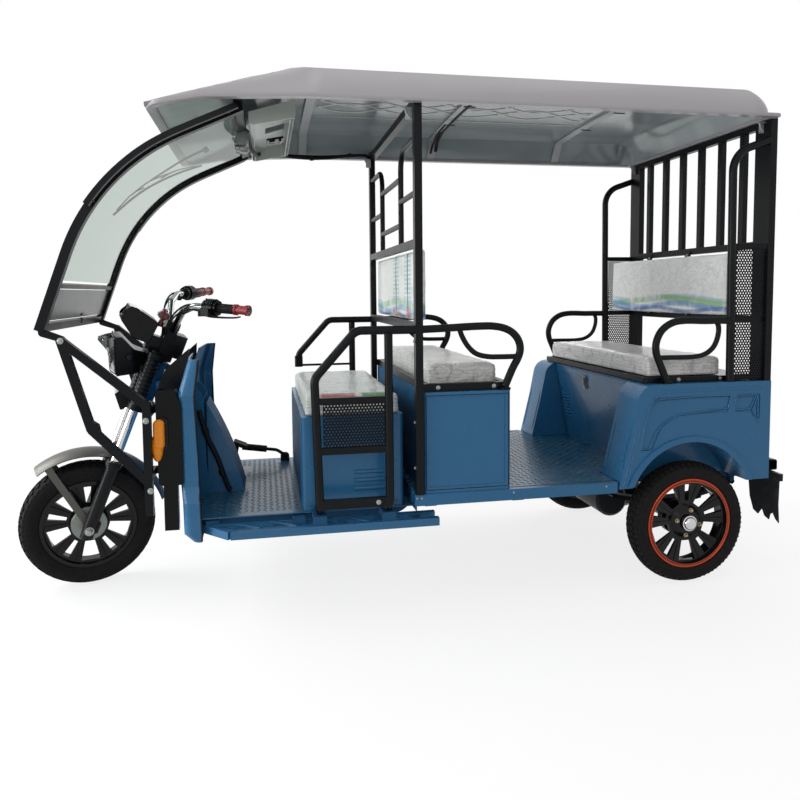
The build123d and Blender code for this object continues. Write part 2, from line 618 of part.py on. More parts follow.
def rear_body():
    outline = WING_ROWS + [(BODY_REAR_X, SEAT_Z), (BODY_REAR_X, 372)]
    box = plate(outline, (WHEEL_BOX_Y, BODY_HALF_Y))
    box = box - barrel(ARCH_X, ARCH_Z, ARCH_R, (WHEEL_BOX_Y + SHEET, BODY_HALF_Y + 10))
    room = plate([(-760, 552, 20), (-796, SEAT_Z - SHEET, 40), (BODY_REAR_X + SHEET, SEAT_Z - SHEET),
                  (BODY_REAR_X + SHEET, 552)], (WHEEL_BOX_Y + SHEET, BODY_HALF_Y - SHEET))
    flare = barrel(ARCH_X, ARCH_Z, ARCH_R + 20, (BODY_HALF_Y - 8, BODY_HALF_Y + 7))
    flare = flare - barrel(ARCH_X, ARCH_Z, ARCH_R, (BODY_HALF_Y - 20, BODY_HALF_Y + 20))
    flare = flare & block((-1300, -600), (0, 600), (372, 700))
    box = (box - room) + flare
    for rows in (PANEL_ROWS, SMALL_PANEL_ROWS):
        box = box - plate(rows, (BODY_HALF_Y - PANEL_DEEP, BODY_HALF_Y + 12))
    top_x = -812.0
    bulkhead = plate([(BULKHEAD_FOOT_X, FLOOR_Z - SHEET), (BULKHEAD_FOOT_X + SHEET, FLOOR_Z - SHEET),
                      (top_x, SEAT_Z - 30, 10), (top_x, SEAT_Z - 4), (top_x - SHEET, SEAT_Z - 4),
                      (top_x - SHEET, SEAT_Z - 30, 16)], (-WHEEL_BOX_Y, WHEEL_BOX_Y))
    back = block((BODY_REAR_X, BODY_REAR_X + SHEET), (-WHEEL_BOX_Y, WHEEL_BOX_Y), (372, SEAT_Z))
    floor = block((BODY_REAR_X, BULKHEAD_FOOT_X + 1), (-WHEEL_BOX_Y, WHEEL_BOX_Y), (FLOOR_Z - SHEET, FLOOR_Z))
    return [fused(both_sides([box]) + [bulkhead, back, floor])]


def rear_seat_board():
    board = block((-1236, -804), (-452, 452), (SEAT_Z + 2, SEAT_Z + 20))
    return [fillet(board.edges().filter_by(Axis.Z).sort_by(Axis.X)[-2:], 14)]


def rear_cushion():
    cushion = block((-1120, -816), (-440, 440), (SEAT_Z + 20, 824))
    return [fillet(cushion.edges().filter_by(Axis.Z), 30)]


# The rear corner posts are wide plates; seven uprights stand between the two upper bars
CAGE_X = (-1280.0, -1254.0)
CAGE_POST_Y = (404.0, 486.0)
CAGE_BARS_Y = [65.5 * k for k in (-5, -3, -1, 1, 3, 5)]
HAND_RAIL_Y = 475.0


def rear_cage():
    pieces = both_sides([block(CAGE_X, CAGE_POST_Y, (SEAT_Z, 1664))])
    bar_x = (CAGE_X[0] + 2, CAGE_X[1])
    for low, high in ((1638, 1664), (1210, 1236), (938, 964)):
        pieces.append(block(bar_x, (-CAGE_POST_Y[0], CAGE_POST_Y[0]), (low, high)))
    for y in CAGE_BARS_Y:
        pieces.append(block((CAGE_X[0] + 4, CAGE_X[1] - 2), (y - 13, y + 13), (1236, 1638)))
    hand = rod([(CAGE_X[1] - 4, HAND_RAIL_Y, 1590), (-1114, HAND_RAIL_Y, 1540),
                (HAND_RAIL_X, HAND_RAIL_Y, SEAT_Z)], RAIL_D, 90)
    mesh_top = block((CAGE_X[1], HAND_RAIL_X), (HAND_RAIL_Y - 9, HAND_RAIL_Y + 9), (1206, 1224))
    mesh_mid = block((CAGE_X[1], HAND_RAIL_X), (HAND_RAIL_Y - 12, HAND_RAIL_Y - 2), (944, 962))
    return [fused(pieces + both_sides([hand, mesh_top, mesh_mid]))]


# Rear axle on leaf springs, with its gear case and the motor beside it
SPRING_SAG = 53.0
SPRING_LEAF = 8.0
SPRING_LEAVES = [(282.0, 262.0), (220.0, 254.0), (150.0, 246.0)]  # half length, height at the middle


def leaf_springs():
    pieces = []
    for reach, low in SPRING_LEAVES:
        sag = SPRING_SAG * (reach / SPRING_REACH) ** 2
        ends = (REAR_AXLE_X - reach, REAR_AXLE_X + reach)
        lower = ThreePointArc((ends[0], low + sag), (REAR_AXLE_X, low), (ends[1], low + sag))
        upper = ThreePointArc((ends[1], low + sag + SPRING_LEAF), (REAR_AXLE_X, low + SPRING_LEAF),
                              (ends[0], low + sag + SPRING_LEAF))
        leaf = make_face([lower, Line(lower @ 1, upper @ 0), upper, Line(upper @ 1, lower @ 0)])
        pieces.append(across_y(leaf, SPRING_Y))
    for x in SPRING_EYE_X:
        pieces.append(barrel(x, 318, 11, SPRING_Y))
    return both_sides([fused(pieces)])


GEAR_ROWS = [  # y, radius: the axle tube swelling into the gear case
    (-385.0, 25.0), (-135.0, 25.0), (-100.0, 62.0), (-60.0, 78.0), (0.0, 78.0), (26.0, 60.0), (46.0, 25.0),
    (385.0, 25.0),
]
DRUM_R = 64.0
MOTOR_X = REAR_AXLE_X + 152.0
MOTOR_Z = REAR_TYRE_R + 12.0
MOTOR_R = 66.0


def rear_axle():
    outline = [(0.0, GEAR_ROWS[0][0])] + [(radius, y) for y, radius in GEAR_ROWS] + [(0.0, GEAR_ROWS[-1][0])]
    case = Pos(REAR_AXLE_X, 0, REAR_TYRE_R) * revolve(make_face(Polyline(*outline, close=True)), Axis.Y)
    pieces = [case, barrel(REAR_AXLE_X, REAR_TYRE_R, 13, (5 - REAR_TRACK_HALF, REAR_TRACK_HALF - 5))]
    link = plate([(REAR_AXLE_X - 10, 288, 30), (REAR_AXLE_X - 10, 160, 30), (MOTOR_X + 62, 172, 55),
                  (MOTOR_X + 62, 298, 55)], (-40, -8))
    pieces.append(link)
    for side in (1, -1):
        drum = sorted((side * 372, side * 402))
        pad = sorted((side * SPRING_Y[0], side * SPRING_Y[1]))
        pieces.append(barrel(REAR_AXLE_X, REAR_TYRE_R, DRUM_R, drum))
        pieces.append(block((REAR_AXLE_X - 32, REAR_AXLE_X + 32), pad, (REAR_TYRE_R, 252)))
    return [fused(pieces)]


def drive_motor():
    body = barrel(MOTOR_X, MOTOR_Z, MOTOR_R, (-8, 190))
    return [chamfer(body.faces().sort_by(Axis.Y)[-1].edges(), 10)]


BUMPER_X = (REAR_END_X, CHASSIS_REAR_X)
BUMPER_Z = (372.0, 416.0)
FLAP_X = (-1339.0, -1335.0)
FLAP_ROWS = [  # y, z: square at the top, torn into teeth along the foot
    (301, 378), (475, 378), (472, 262), (478, 196), (462, 206), (446, 226), (432, 216), (426, 194), (402, 202),
    (388, 226), (378, 214), (366, 198), (340, 208), (318, 256),
]


def rear_bumper():
    wall = 3.0
    tube = plate([(BUMPER_X[0], BUMPER_Z[0], 6), (BUMPER_X[1], BUMPER_Z[0]), (BUMPER_X[1], BUMPER_Z[1], 6),
                  (BUMPER_X[0], BUMPER_Z[1] - 4, 10)], (-388, 388))
    hollow = plate([(BUMPER_X[0] + wall, BUMPER_Z[0] + wall), (BUMPER_X[1] - wall, BUMPER_Z[0] + wall),
                    (BUMPER_X[1] - wall, BUMPER_Z[1] - wall), (BUMPER_X[0] + wall, BUMPER_Z[1] - 10)], (-400, 400))
    hanger = block((BUMPER_X[1] - 12, FLAP_X[0]), (301, 475), (352, 379))
    return [fused([tube - hollow] + both_sides([hanger]))]


def rear_mudflaps():
    return both_sides([across_x(FLAP_ROWS, FLAP_X)])


def tail_lamps():
    lamp = block((BODY_REAR_X - 22, BODY_REAR_X), (392, 446), (540, 660))
    return both_sides([fillet(lamp.edges().filter_by(Axis.X), 12)])


def brake_controls():
    """The foot pedal, and a hand lever lying low beside the seat box on a toothed quadrant."""
    pad = plate([(603, 425, 6), (655, 447, 6), (651, 461, 6), (599, 439, 6)], (-258, -192))
    leg = bar((640, -225, 440), (660, -225, DRIVER_FLOOR_Z), 14, 18)
    pedal = (pad + leg) - block((500, 800), (-400, 0), (0, DRIVER_FLOOR_Z))
    quadrant = plate([(424, DRIVER_FLOOR_Z), (424, 372, 16), (462, 372, 16), (462, DRIVER_FLOOR_Z)], (-352, -346))
    stalk = rod([(443, -340, 362), (478, -340, 386), (560, -340, 398)], 14, 40)
    grip = Pos(520, -340, 392) * Rot(0, 81.6, 0) * Cylinder(14, 104, align=STANDING)
    pin = barrel(443, 362, 7, (-352, -333))
    return [pedal, fused([quadrant, stalk, grip, pin])]


def battery_pack():
    return [block((-275, -12), (-400, 400), (FLOOR_Z, 610))]


# Steering assembly, drawn straight ahead and then turned
LEG_Y = 76.0
LEG_TUBE_R = 16.0
YOKES = ((458.0, 480.0), (655.0, 673.0))
BAR_D = 24.0
BAR_HALF = [(652.0, 392.0, 1038.0), (806.0, 242.0, 1042.0), (836.0, 176.0, 1018.0), (859.0, 60.0, 938.0)]
BAR_ALONG = 770.0
BAR_BACK = -31.0


def fork_legs():
    lower = FORK * Pos(0, LEG_Y, -34) * Cylinder(23, 294, align=STANDING)
    collar = FORK * Pos(0, LEG_Y, 236) * Cylinder(27, 24, align=STANDING)
    upper = FORK * Pos(0, LEG_Y, 260) * Cylinder(LEG_TUBE_R, 422, align=STANDING)
    cover = FORK * Pos(0, LEG_Y, 482) * Cylinder(24, 171, align=STANDING)
    axle = barrel(FRONT_AXLE.X, FRONT_AXLE.Z, 8, (-112, 112))
    return steered([fused(both_sides([lower, collar, upper, cover]) + [axle])])


def fork_yokes():
    outline = [(-64, 62, 24), (-22, 106, 24), (26, 106, 24), (26, -106, 24), (-22, -106, 24), (-64, -62, 24)]
    pieces = [FORK * across_z(outline, ends) for ends in YOKES]
    stem_along = (YOKES[0][0], YOKES[1][1])
    pieces.append(FORK * Pos(-TRAIL_OFFSET, 0, stem_along[0]) * Cylinder(
        STEM_R, stem_along[1] - stem_along[0], align=STANDING))
    for y in (-34.0, 34.0):
        pieces.append(FORK * block((BAR_BACK - 20, BAR_BACK + 20), (y - 14, y + 14), (YOKES[1][1], BAR_ALONG)))
    yokes = fused(pieces)
    for bore in both_sides([FORK * Pos(0, LEG_Y, 300) * Cylinder(LEG_TUBE_R, 500, align=STANDING)]):
        yokes = yokes - bore
    return steered([yokes])


GUARD_R = 272.0
GUARD_HALF = 57.0
GUARD_CROWN = 16.0
GUARD_SHEET = 3.0
STAY_Y = 51.3
STAY_SHEET = 2.6
STAY_ANGLE = 28.0


def front_mudguard():
    """A crowned strip round the tyre, held by a flat stay down each side to the axle."""
    drop = GUARD_SHEET
    section = make_face([
        ThreePointArc((-GUARD_HALF, -8), (0, GUARD_CROWN - 8), (GUARD_HALF, -8)),
        Line((GUARD_HALF, -8), (GUARD_HALF, -8 - drop)),
        ThreePointArc((GUARD_HALF, -8 - drop), (0, GUARD_CROWN - 8 - drop), (-GUARD_HALF, -8 - drop)),
        Line((-GUARD_HALF, -8 - drop), (-GUARD_HALF, -8))])
    start = Plane(origin=(0, 0, GUARD_R), x_dir=(0, 1, 0), z_dir=(1, 0, 0)) * section
    strip = Pos(*FRONT_AXLE) * revolve(start, Axis.Y, 112).rotate(Axis.Y, -75)
    slant = math.radians(STAY_ANGLE)
    reach = Vector(math.sin(slant), 0, math.cos(slant))
    foot, head = FRONT_AXLE - reach * 14, FRONT_AXLE + reach * (GUARD_R - 6.2)
    stay = bar((foot.X, STAY_Y, foot.Z), (head.X, STAY_Y, head.Z), STAY_SHEET, 24)
    return steered([fused([strip] + both_sides([stay]))])


def handlebar():
    points = BAR_HALF + [(x, -y, z) for x, y, z in reversed(BAR_HALF)]
    return steered([rod(points, BAR_D, 32)])


def bar_clamp():
    cap = FORK * block((BAR_BACK - 22, BAR_BACK + 24), (-50, 50), (BAR_ALONG, BAR_ALONG + 27))
    return steered([cap])


def along_grip(share):
    """A point on the straight end of the handlebar, from its bend (0) to its tip (1)."""
    bend, tip = Vector(*BAR_HALF[1]), Vector(*BAR_HALF[0])
    return tuple(bend + (tip - bend) * share)


def sleeve(start, end, diameter):
    return rod([along_grip(start), along_grip(end)], diameter)


def grips():
    bore = rod([along_grip(0.0), along_grip(1.2)], BAR_D)
    body = fused([sleeve(0.46, 0.76, 33), sleeve(0.74, 0.97, 30), sleeve(0.74, 0.79, 37), sleeve(0.95, 1.0, 36)])
    return steered(both_sides([body - bore]))


def bar_controls():
    """A switch cluster inboard of each grip, with the brake's lever clamp below it."""
    bore = rod([along_grip(-0.2), along_grip(1.2)], BAR_D)
    middle = Vector(*along_grip(0.34))
    pod = fused([sleeve(0.2, 0.45, 50), sleeve(0.27, 0.4, 60)])
    perch = Pos(middle.X + 22, middle.Y + 18, middle.Z - 12) * Rot(0, 0, 45) * Box(34, 30, 26)
    return steered(both_sides([(pod + perch) - bore]))


POD_EDGE = 3.0


def instrument_pod():
    pod = plate([(1036, 985, 14), (1001, 1031, 10), (975, 1020, 4), (958, 1006, 4), (906, 965, 10), (944, 893, 12),
                 (996, 915, 22)], (-70, 70))
    for end in (-1, 0):
        pod = chamfer(pod.faces().sort_by(Axis.Y)[end].edges(), POD_EDGE)
    key_box = FORK * block((-92, BAR_BACK - 20), (-55, 55), (YOKES[1][1], BAR_ALONG - 12))
    mount = FORK * block((BAR_BACK + 20, 38), (-30, 30), (YOKES[1][1], 728))
    return steered([pod + mount, key_box])


def headlamp_housing():
    side_on = plate([(1057, 921), (1034, 922, 10), (994, 874, 30), (950, 856, 12), (944, 820, 14), (985, 788, 20),
                     (1057, 782)], (-90, 90))
    from_above = across_z([(1057, 76), (1057, -76), (1000, -70, 30), (940, -36, 10), (940, 36, 10), (1000, 70, 30)],
                          (700, 1000))
    ears = FORK * block((-8, 34), (-LEG_Y, LEG_Y), (600, 618))
    return steered([(side_on & from_above) + ears])


def headlamp_lens():
    side_on = plate([(1116, 913, 5), (1082, 872, 14), (1078, 800, 14), (1057, 784, 5), (1057, 920)], (-90, 90))
    from_above = across_z([(1057, 72), (1057, -72), (1084, -60, 14), (1117, -14, 8), (1117, 14, 8), (1084, 60, 14)],
                          (700, 1000))
    return steered([side_on & from_above])


def spot_lamp():
    lamp = plate([(1066, 716, 8), (1040, 728, 6), (1018, 722), (1020, 660), (1048, 648, 6)], (-34, 34))
    return steered([lamp])


# Wheels: y runs from the rim's inner face to its outer, dished face
RIM_HALF = TYRE_HALF_WIDTH - 12.0
BEAD_R = RIM_R - 7.0
SPOKE_WINDOWS = [  # first angle, half angle, inner radius, outer radius
    (54.0, 13.0, 72.0, 143.0), (90.0, 5.0, 78.0, 140.0),
]
RIM_ROWS = [  # y, radius: the rim's section below its bead seats
    (-37, RIM_R), (-33, RIM_R), (-33, BEAD_R), (33, BEAD_R), (33, RIM_R), (37, RIM_R), (37, RIM_R - 12),
    (24, RIM_R - 14), (12, 60), (28, 44),
]


def tyre(radius):
    half = TYRE_HALF_WIDTH
    side_r = (RIM_R + radius) / 2 - 4
    bead, shoulder = (RIM_HALF, RIM_R), (half - 5, radius - 15)
    edges = [
        Line((-RIM_HALF, BEAD_R), (RIM_HALF, BEAD_R)), Line((RIM_HALF, BEAD_R), bead),
        ThreePointArc(bead, (half, side_r), shoulder),
        ThreePointArc(shoulder, (0, radius), (-shoulder[0], shoulder[1])),
        ThreePointArc((-shoulder[0], shoulder[1]), (-half, side_r), (-bead[0], bead[1])),
        Line((-bead[0], bead[1]), (-bead[0], BEAD_R))]
    return revolve(Plane.YZ * make_face(edges), Axis.Y)


def rim(hub_bore):
    outline = RIM_ROWS + [(28, hub_bore), (-25, hub_bore), (-25, 40), (0, 44), (6, 66), (10, RIM_R - 13),
                          (-37, RIM_R - 13)]
    wheel = revolve(Plane.YZ * make_face(Polyline(*outline, close=True)), Axis.Y)
    for i in range(5):
        for first, half_angle, low, high in SPOKE_WINDOWS:
            corners = [(low, -half_angle), (high, -half_angle), (high, half_angle), (low, half_angle)]
            rows = []
            for radius, swing in corners:
                angle = math.radians(first + 72 * i + swing)
                rows.append((radius * math.cos(angle), radius * math.sin(angle)))
            wheel = wheel - plate(rows, (-60, 60))
    return wheel


def front_tyre():
    return steered([Pos(*FRONT_AXLE) * tyre(FRONT_TYRE_R)])


def front_rim():
    return steered([Pos(*FRONT_AXLE) * rim(10)])


def rear_wheel(side, shape):
    placed = Pos(REAR_AXLE_X, REAR_TRACK_HALF, REAR_TYRE_R) * shape
    return [placed if side > 0 else other_side(placed)]


def rear_tyre_left():
    return rear_wheel(1, tyre(REAR_TYRE_R))


def rear_tyre_right():
    return rear_wheel(-1, tyre(REAR_TYRE_R))


def rear_rim_left():
    return rear_wheel(1, rim(15))


def rear_rim_right():
    return rear_wheel(-1, rim(15))


# Every piece, in the order they are made, with the earlier pieces that it is cut back to meet
CHASSIS = [chassis_frame, cross_members]
NODES = [
    (chassis_frame, []),
    (cross_members, [chassis_frame]),
    (floor_plates, CHASSIS),
    (side_steps, CHASSIS),
    (front_apron, CHASSIS + [floor_plates]),
    (steering_cowl, [front_apron]),
    (front_side_pods, [front_apron]),
    (front_indicators, []),
    (windshield_stand, [front_apron, front_side_pods]),
    (roof_shell, []),
    (roof_bows, [roof_shell]),
    (windshield_frame, [roof_shell]),
    (windshield_bars, [roof_shell, windshield_frame]),
    (windshield_glass, []),
    (wiper, [windshield_bars]),
    (overhead_console, [roof_shell]),
    (roof_wiring, [roof_bows]),
    (mid_frame, [roof_shell, floor_plates]),
    (mid_ladder, [mid_frame]),
    (rear_cage, [roof_shell]),
    (backrests, [mid_frame, rear_cage]),
    (front_seat_box, [floor_plates]),
    (front_seat_rail, [mid_frame]),
    (front_cushion, [front_seat_rail]),
    (driver_seat_box, CHASSIS),
    (driver_cushion, []),
    (side_rail_left, CHASSIS + [floor_plates, side_steps, mid_frame]),
    (side_rail_right, CHASSIS + [floor_plates, side_steps, mid_frame]),
    (mid_armrests, [front_seat_rail, front_seat_box, mid_frame]),
    (mesh_panels, [side_rail_left, rear_cage]),
    (rear_body, CHASSIS + [floor_plates, rear_cage]),
    (rear_seat_board, []),
    (rear_cushion, []),
    (rear_armrests, [rear_body, rear_cage]),
    (leaf_springs, [chassis_frame]),
    (rear_axle, [leaf_springs]),
    (drive_motor, []),
    (rear_bumper, [chassis_frame]),
    (rear_mudflaps, [chassis_frame, rear_bumper]),
    (tail_lamps, []),
    (brake_controls, []),
    (battery_pack, []),
    (fork_legs, []),
    (fork_yokes, []),
    (front_mudguard, [fork_legs]),
    (handlebar, [fork_yokes]),
    (bar_clamp, [handlebar, fork_yokes]),
    (grips, []),
    (bar_controls, [grips]),
    (instrument_pod, [fork_yokes, fork_legs]),
    (headlamp_housing, [fork_legs, fork_yokes, instrument_pod]),
    (headlamp_lens, []),
    (spot_lamp, [fork_yokes]),
    (front_tyre, []),
    (front_rim, []),
    (rear_tyre_left, []),
    (rear_tyre_right, []),
    (rear_rim_left, []),
    (rear_rim_right, []),
]

made = {}
for make, cutters in NODES:
    solids = []
    for solid in make():
        for cutter in cutters:
            for other in made[cutter.__name__]:
                solid = solid - other
        solids += solid.solids()
    made[make.__name__] = solids

os.makedirs("parts", exist_ok=True)
for name, solids in made.items():
    export_step(Compound(children=solids), f"parts/{name}.step")
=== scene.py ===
import bpy
import bmesh
import math
from mathutils import Matrix, Vector, noise


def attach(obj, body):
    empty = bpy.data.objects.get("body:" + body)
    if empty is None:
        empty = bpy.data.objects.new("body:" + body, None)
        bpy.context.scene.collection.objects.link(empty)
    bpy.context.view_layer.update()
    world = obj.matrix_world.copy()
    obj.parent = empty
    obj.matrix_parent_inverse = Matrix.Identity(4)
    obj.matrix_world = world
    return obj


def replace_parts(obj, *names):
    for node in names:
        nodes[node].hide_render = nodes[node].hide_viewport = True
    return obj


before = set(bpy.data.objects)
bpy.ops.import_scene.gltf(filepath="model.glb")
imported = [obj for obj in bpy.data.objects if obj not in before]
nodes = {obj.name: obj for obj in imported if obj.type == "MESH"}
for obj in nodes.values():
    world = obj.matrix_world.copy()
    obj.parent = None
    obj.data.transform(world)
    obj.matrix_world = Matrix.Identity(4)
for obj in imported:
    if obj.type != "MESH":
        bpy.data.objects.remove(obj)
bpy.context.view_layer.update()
scene = bpy.context.scene
noise.seed_set(7)
X, Y, Z = Vector((1, 0, 0)), Vector((0, 1, 0)), Vector((0, 0, 1))
SIDES = (1, -1)


# camera, at the photograph's place and angle

YAW, PITCH, ROLL = math.radians(10.93), math.radians(4.07), math.radians(-0.5)
look = Vector((-math.sin(YAW) * math.cos(PITCH), -math.cos(YAW) * math.cos(PITCH), -math.sin(PITCH)))
level = Vector((-math.cos(YAW), math.sin(YAW), 0))
upright = level.cross(look)
right = math.cos(ROLL) * level + math.sin(ROLL) * upright
above = -math.sin(ROLL) * level + math.cos(ROLL) * upright
camera = bpy.data.objects.new("camera", bpy.data.cameras.new("camera"))
scene.collection.objects.link(camera)
camera.data.lens = 31.86
camera.data.sensor_width = 36
camera.data.sensor_fit = "HORIZONTAL"
camera.data.shift_y = -0.07125
camera.data.clip_end = 200
camera.data.dof.use_dof = False
turn = Matrix((right, above, -look)).transposed().to_4x4()
camera.matrix_world = Matrix.Translation((0.5235, 2.737, 1.0607)) @ turn
scene.camera = camera
scene.view_settings.view_transform = "Standard"


# materials

def srgb(r, g, b):
    """A colour as read off a screen, 0 to 255, in the linear values that nodes take."""
    return tuple(c / 3294.6 if c <= 10 else ((c / 255 + 0.055) / 1.055) ** 2.4 for c in (r, g, b)) + (1.0,)


def scaled(colour, share):
    return tuple(min(1.0, c * share) for c in colour[:3]) + (1.0,)


class Nodes:
    """The node tree of a material or world, with short ways to add to it."""

    def __init__(self, owner):
        owner.use_nodes = True
        self.tree = owner.node_tree

    def feed(self, node, values):
        """Sets a node's inputs. One whose value is another node's output is linked to it."""
        for key, value in values.items():
            if isinstance(value, bpy.types.NodeSocket):
                self.tree.links.new(value, node.inputs[key])
            else:
                node.inputs[key].default_value = value
        return node

    def node(self, kind, values, **settings):
        made = self.tree.nodes.new("ShaderNode" + kind)
        for key, value in settings.items():
            setattr(made, key, value)
        return self.feed(made, values)

    def math(self, work, *values):
        return self.node("Math", dict(enumerate(values)), operation=work).outputs[0]

    def times(self, product, *factors):
        for factor in factors:
            product = self.math("MULTIPLY", product, factor)
        return product

    def step(self, value, low, high, bottom=0.0, top=1.0):
        values = {"From Min": low, "From Max": high, "To Min": bottom, "To Max": top, "Value": value}
        return self.node("MapRange", values, interpolation_type="SMOOTHSTEP").outputs["Result"]

    def mix(self, share, a, b):
        return self.node("Mix", {0: share, 6: a, 7: b}, data_type="RGBA").outputs[2]


class Look(Nodes):
    """A procedural material under construction: a Principled shader with noise on its colour,
    roughness and relief, all read from the piece's own coordinates."""

    def __init__(self, name, colour, rough, vary, patch, relief=0.0, grain=300.0, metal=0.0, coat=0.0,
                 specular=0.5, ior=1.5, rough_vary=0.25, stretch=(1, 1, 1)):
        self.material = bpy.data.materials.new(name)
        super().__init__(self.material)
        self.shader = self.tree.nodes["Principled BSDF"]
        self.feed(self.shader, {"Metallic": metal, "Coat Weight": coat, "Coat Roughness": 0.08,
                                "Specular IOR Level": specular, "IOR": ior})
        place = self.node("TexCoord", {}).outputs["Object"]
        self.place = self.node("Mapping", {"Scale": stretch, "Vector": place}).outputs["Vector"]
        self.colour = scaled(srgb(*colour), 1 - vary)
        self.tint(self.noise(patch, 5.0, 0.6), scaled(srgb(*colour), 1 + vary))
        spread = self.node("MapRange", {"To Min": rough * (1 - rough_vary), "Value": self.noise(patch * 5, 3.0, 0.5),
                                        "To Max": min(1.0, rough * (1 + rough_vary))})
        self.feed(self.shader, {"Roughness": spread.outputs["Result"]})
        self.height = None
        if relief:
            self.raise_by(self.noise(grain, 2.0, 0.5), relief)

    def noise(self, size, detail, rough, distort=0.0):
        return self.node("TexNoise", {"Scale": size, "Detail": detail, "Roughness": rough, "Distortion": distort,
                                      "Vector": self.place}).outputs["Fac"]

    def wave(self, direction, size, distort=0.0, detail=2.0, detail_size=1.0, detail_rough=0.5):
        values = {"Scale": size, "Distortion": distort, "Detail": detail, "Detail Scale": detail_size,
                  "Detail Roughness": detail_rough, "Vector": self.place}
        return self.node("TexWave", values, bands_direction=direction).outputs["Fac"]

    def axis(self, letter):
        return self.node("SeparateXYZ", {0: self.place}).outputs[letter]

    def tint(self, share, colour):
        """Lays another colour over what is there, where share is high."""
        self.colour = self.mix(share, self.colour, colour)
        self.feed(self.shader, {"Base Color": self.colour})

    def raise_by(self, value, distance):
        bump = self.node("Bump", {"Strength": 1.0, "Distance": distance, "Height": value})
        if self.height is not None:
            self.feed(bump, {"Normal": self.height})
        self.height = bump.outputs["Normal"]
        self.feed(self.shader, {"Normal": self.height})

    def dust(self, top, amount):
        """Road dust that thins out with height."""
        low = self.step(self.axis("Z"), 0.0, top, amount, 0.0)
        self.tint(self.times(low, self.noise(14.0, 6.0, 0.65)), srgb(120, 116, 108))
        return self

    def worn(self, size, low, high, amount, colour, detail=6.0):
        """Patches of another colour, where a noise runs high."""
        self.tint(self.step(self.noise(size, detail, 0.7), low, high, 0.0, amount), srgb(*colour))
        return self


def paint_look(name, colour, dusty):
    made = Look(name, colour, 0.28, 0.09, 2.5, 0.00008, 160, coat=0.15, specular=0.4, ior=1.36)
    made.tint(made.step(made.noise(1500.0, 1.0, 0.5), 0.58, 0.75, 0.0, 0.14), scaled(srgb(*colour), 1.6))
    return made.dust(0.42, dusty)


# Name, colour on a screen, roughness, how far the colour varies, patches a metre, relief in metres, grain a metre
paint = paint_look("blue_paint", (44, 106, 150), 0.35).material
chequer = paint_look("chequer_paint", (40, 92, 122), 0.0).worn(9, 0.5, 0.8, 0.35, (132, 146, 152)).material
paint_low = Look("blue_paint_dull", (40, 88, 126), 0.6, 0.12, 3, 0.0001, 120, specular=0.2,
                 ior=1.25).dust(0.42, 0.5).material
black_steel = Look("black_steel", (15, 17, 20), 0.34, 0.2, 6, 0.00006, 220, specular=0.4,
                   ior=1.26).dust(0.5, 0.12).material
roof_skin = Look("roof_skin", (178, 174, 179), 0.33, 0.035, 1.6, 0.00025, 14, coat=0.2,
                 specular=0.3).worn(3, 0.5, 0.8, 0.16, (160, 152, 156), 5).material
tyre_rubber = Look("tyre_rubber", (27, 25, 26), 0.85, 0.22, 18, 0.00025, 260,
                   specular=0.15).worn(30, 0.55, 0.85, 0.2, (84, 76, 70)).material
flap_rubber = Look("flap_rubber", (28, 29, 32), 0.75, 0.25, 22, 0.0006, 60,
                   specular=0.2).worn(26, 0.5, 0.78, 0.4, (92, 90, 88)).material
mudguard = Look("mudguard_steel", (78, 77, 72), 0.42, 0.22, 9, 0.0003, 55, 0.3,
                stretch=(0.4, 1, 0.4)).worn(12, 0.55, 0.8, 0.3, (104, 92, 78)).material
trim_rubber = Look("trim_rubber", (18, 19, 21), 0.6, 0.15, 25, 0.0001, 400, specular=0.2).material
wheel_black = Look("wheel_black", (12, 13, 15), 0.2, 0.15, 14, 0.00005, 150, ior=1.3).material
rim_copper = Look("rim_copper", (168, 62, 30), 0.22, 0.15, 10, 0.00005, 180, 0.7).material
hub_grey = Look("hub_grey", (126, 132, 128), 0.42, 0.14, 16, 0.0001, 240, 0.6).material
chrome = Look("chrome", (196, 196, 198), 0.1, 0.08, 9, 0.00004, 90, 1.0, rough_vary=0.5).material
dark_chrome = Look("bar_chrome", (150, 152, 154), 0.16, 0.12, 12, 0.00004, 120, 1.0, rough_vary=0.5).material
brass = Look("lug_brass", (150, 138, 112), 0.4, 0.2, 40, 0.0001, 300, 0.8).material
zinc = Look("zinc_steel", (150, 152, 152), 0.38, 0.16, 30, 0.0001, 300, 0.85).material
machine = Look("machine_grey", (138, 142, 142), 0.36, 0.3, 24, 0.0003, 130, 0.7).material
dark_cast = Look("dark_casting", (34, 36, 39), 0.5, 0.25, 20, 0.0003, 130, specular=0.4, ior=1.3).material
black_plastic = Look("black_plastic", (15, 16, 18), 0.27, 0.18, 12, 0.00006, 260, specular=0.4, ior=1.3).material
pod_plastic = Look("pod_plastic", (8, 10, 11), 0.12, 0.15, 7, 0.00004, 90, specular=0.14).material
grip_rubber = Look("grip_rubber", (20, 20, 21), 0.7, 0.15, 50, 0.0003, 500, specular=0.2).material
grip_red = Look("grip_red", (150, 38, 44), 0.4, 0.18, 40, 0.0002, 260, coat=0.3).material
stripe_metal = Look("rib_metal", (172, 176, 176), 0.42, 0.08, 9, 0.0001, 200, 0.35).material
console_white = Look("console_white", (196, 202, 196), 0.36, 0.06, 5, 0.0002, 40, coat=0.3).material
red_plastic = Look("red_plastic", (112, 38, 36), 0.35, 0.2, 30, 0.0001, 200, coat=0.4).material
dial_face = Look("dial_face", (38, 46, 54), 0.2, 0.2, 40, 0.00005, 300, coat=1.0).material
lamp_bowl = Look("lamp_bowl", (205, 208, 210), 0.08, 0.05, 30, 0.00008, 90, 1.0).material
battery = Look("battery_case", (34, 36, 40), 0.5, 0.15, 12, 0.0002, 140).material

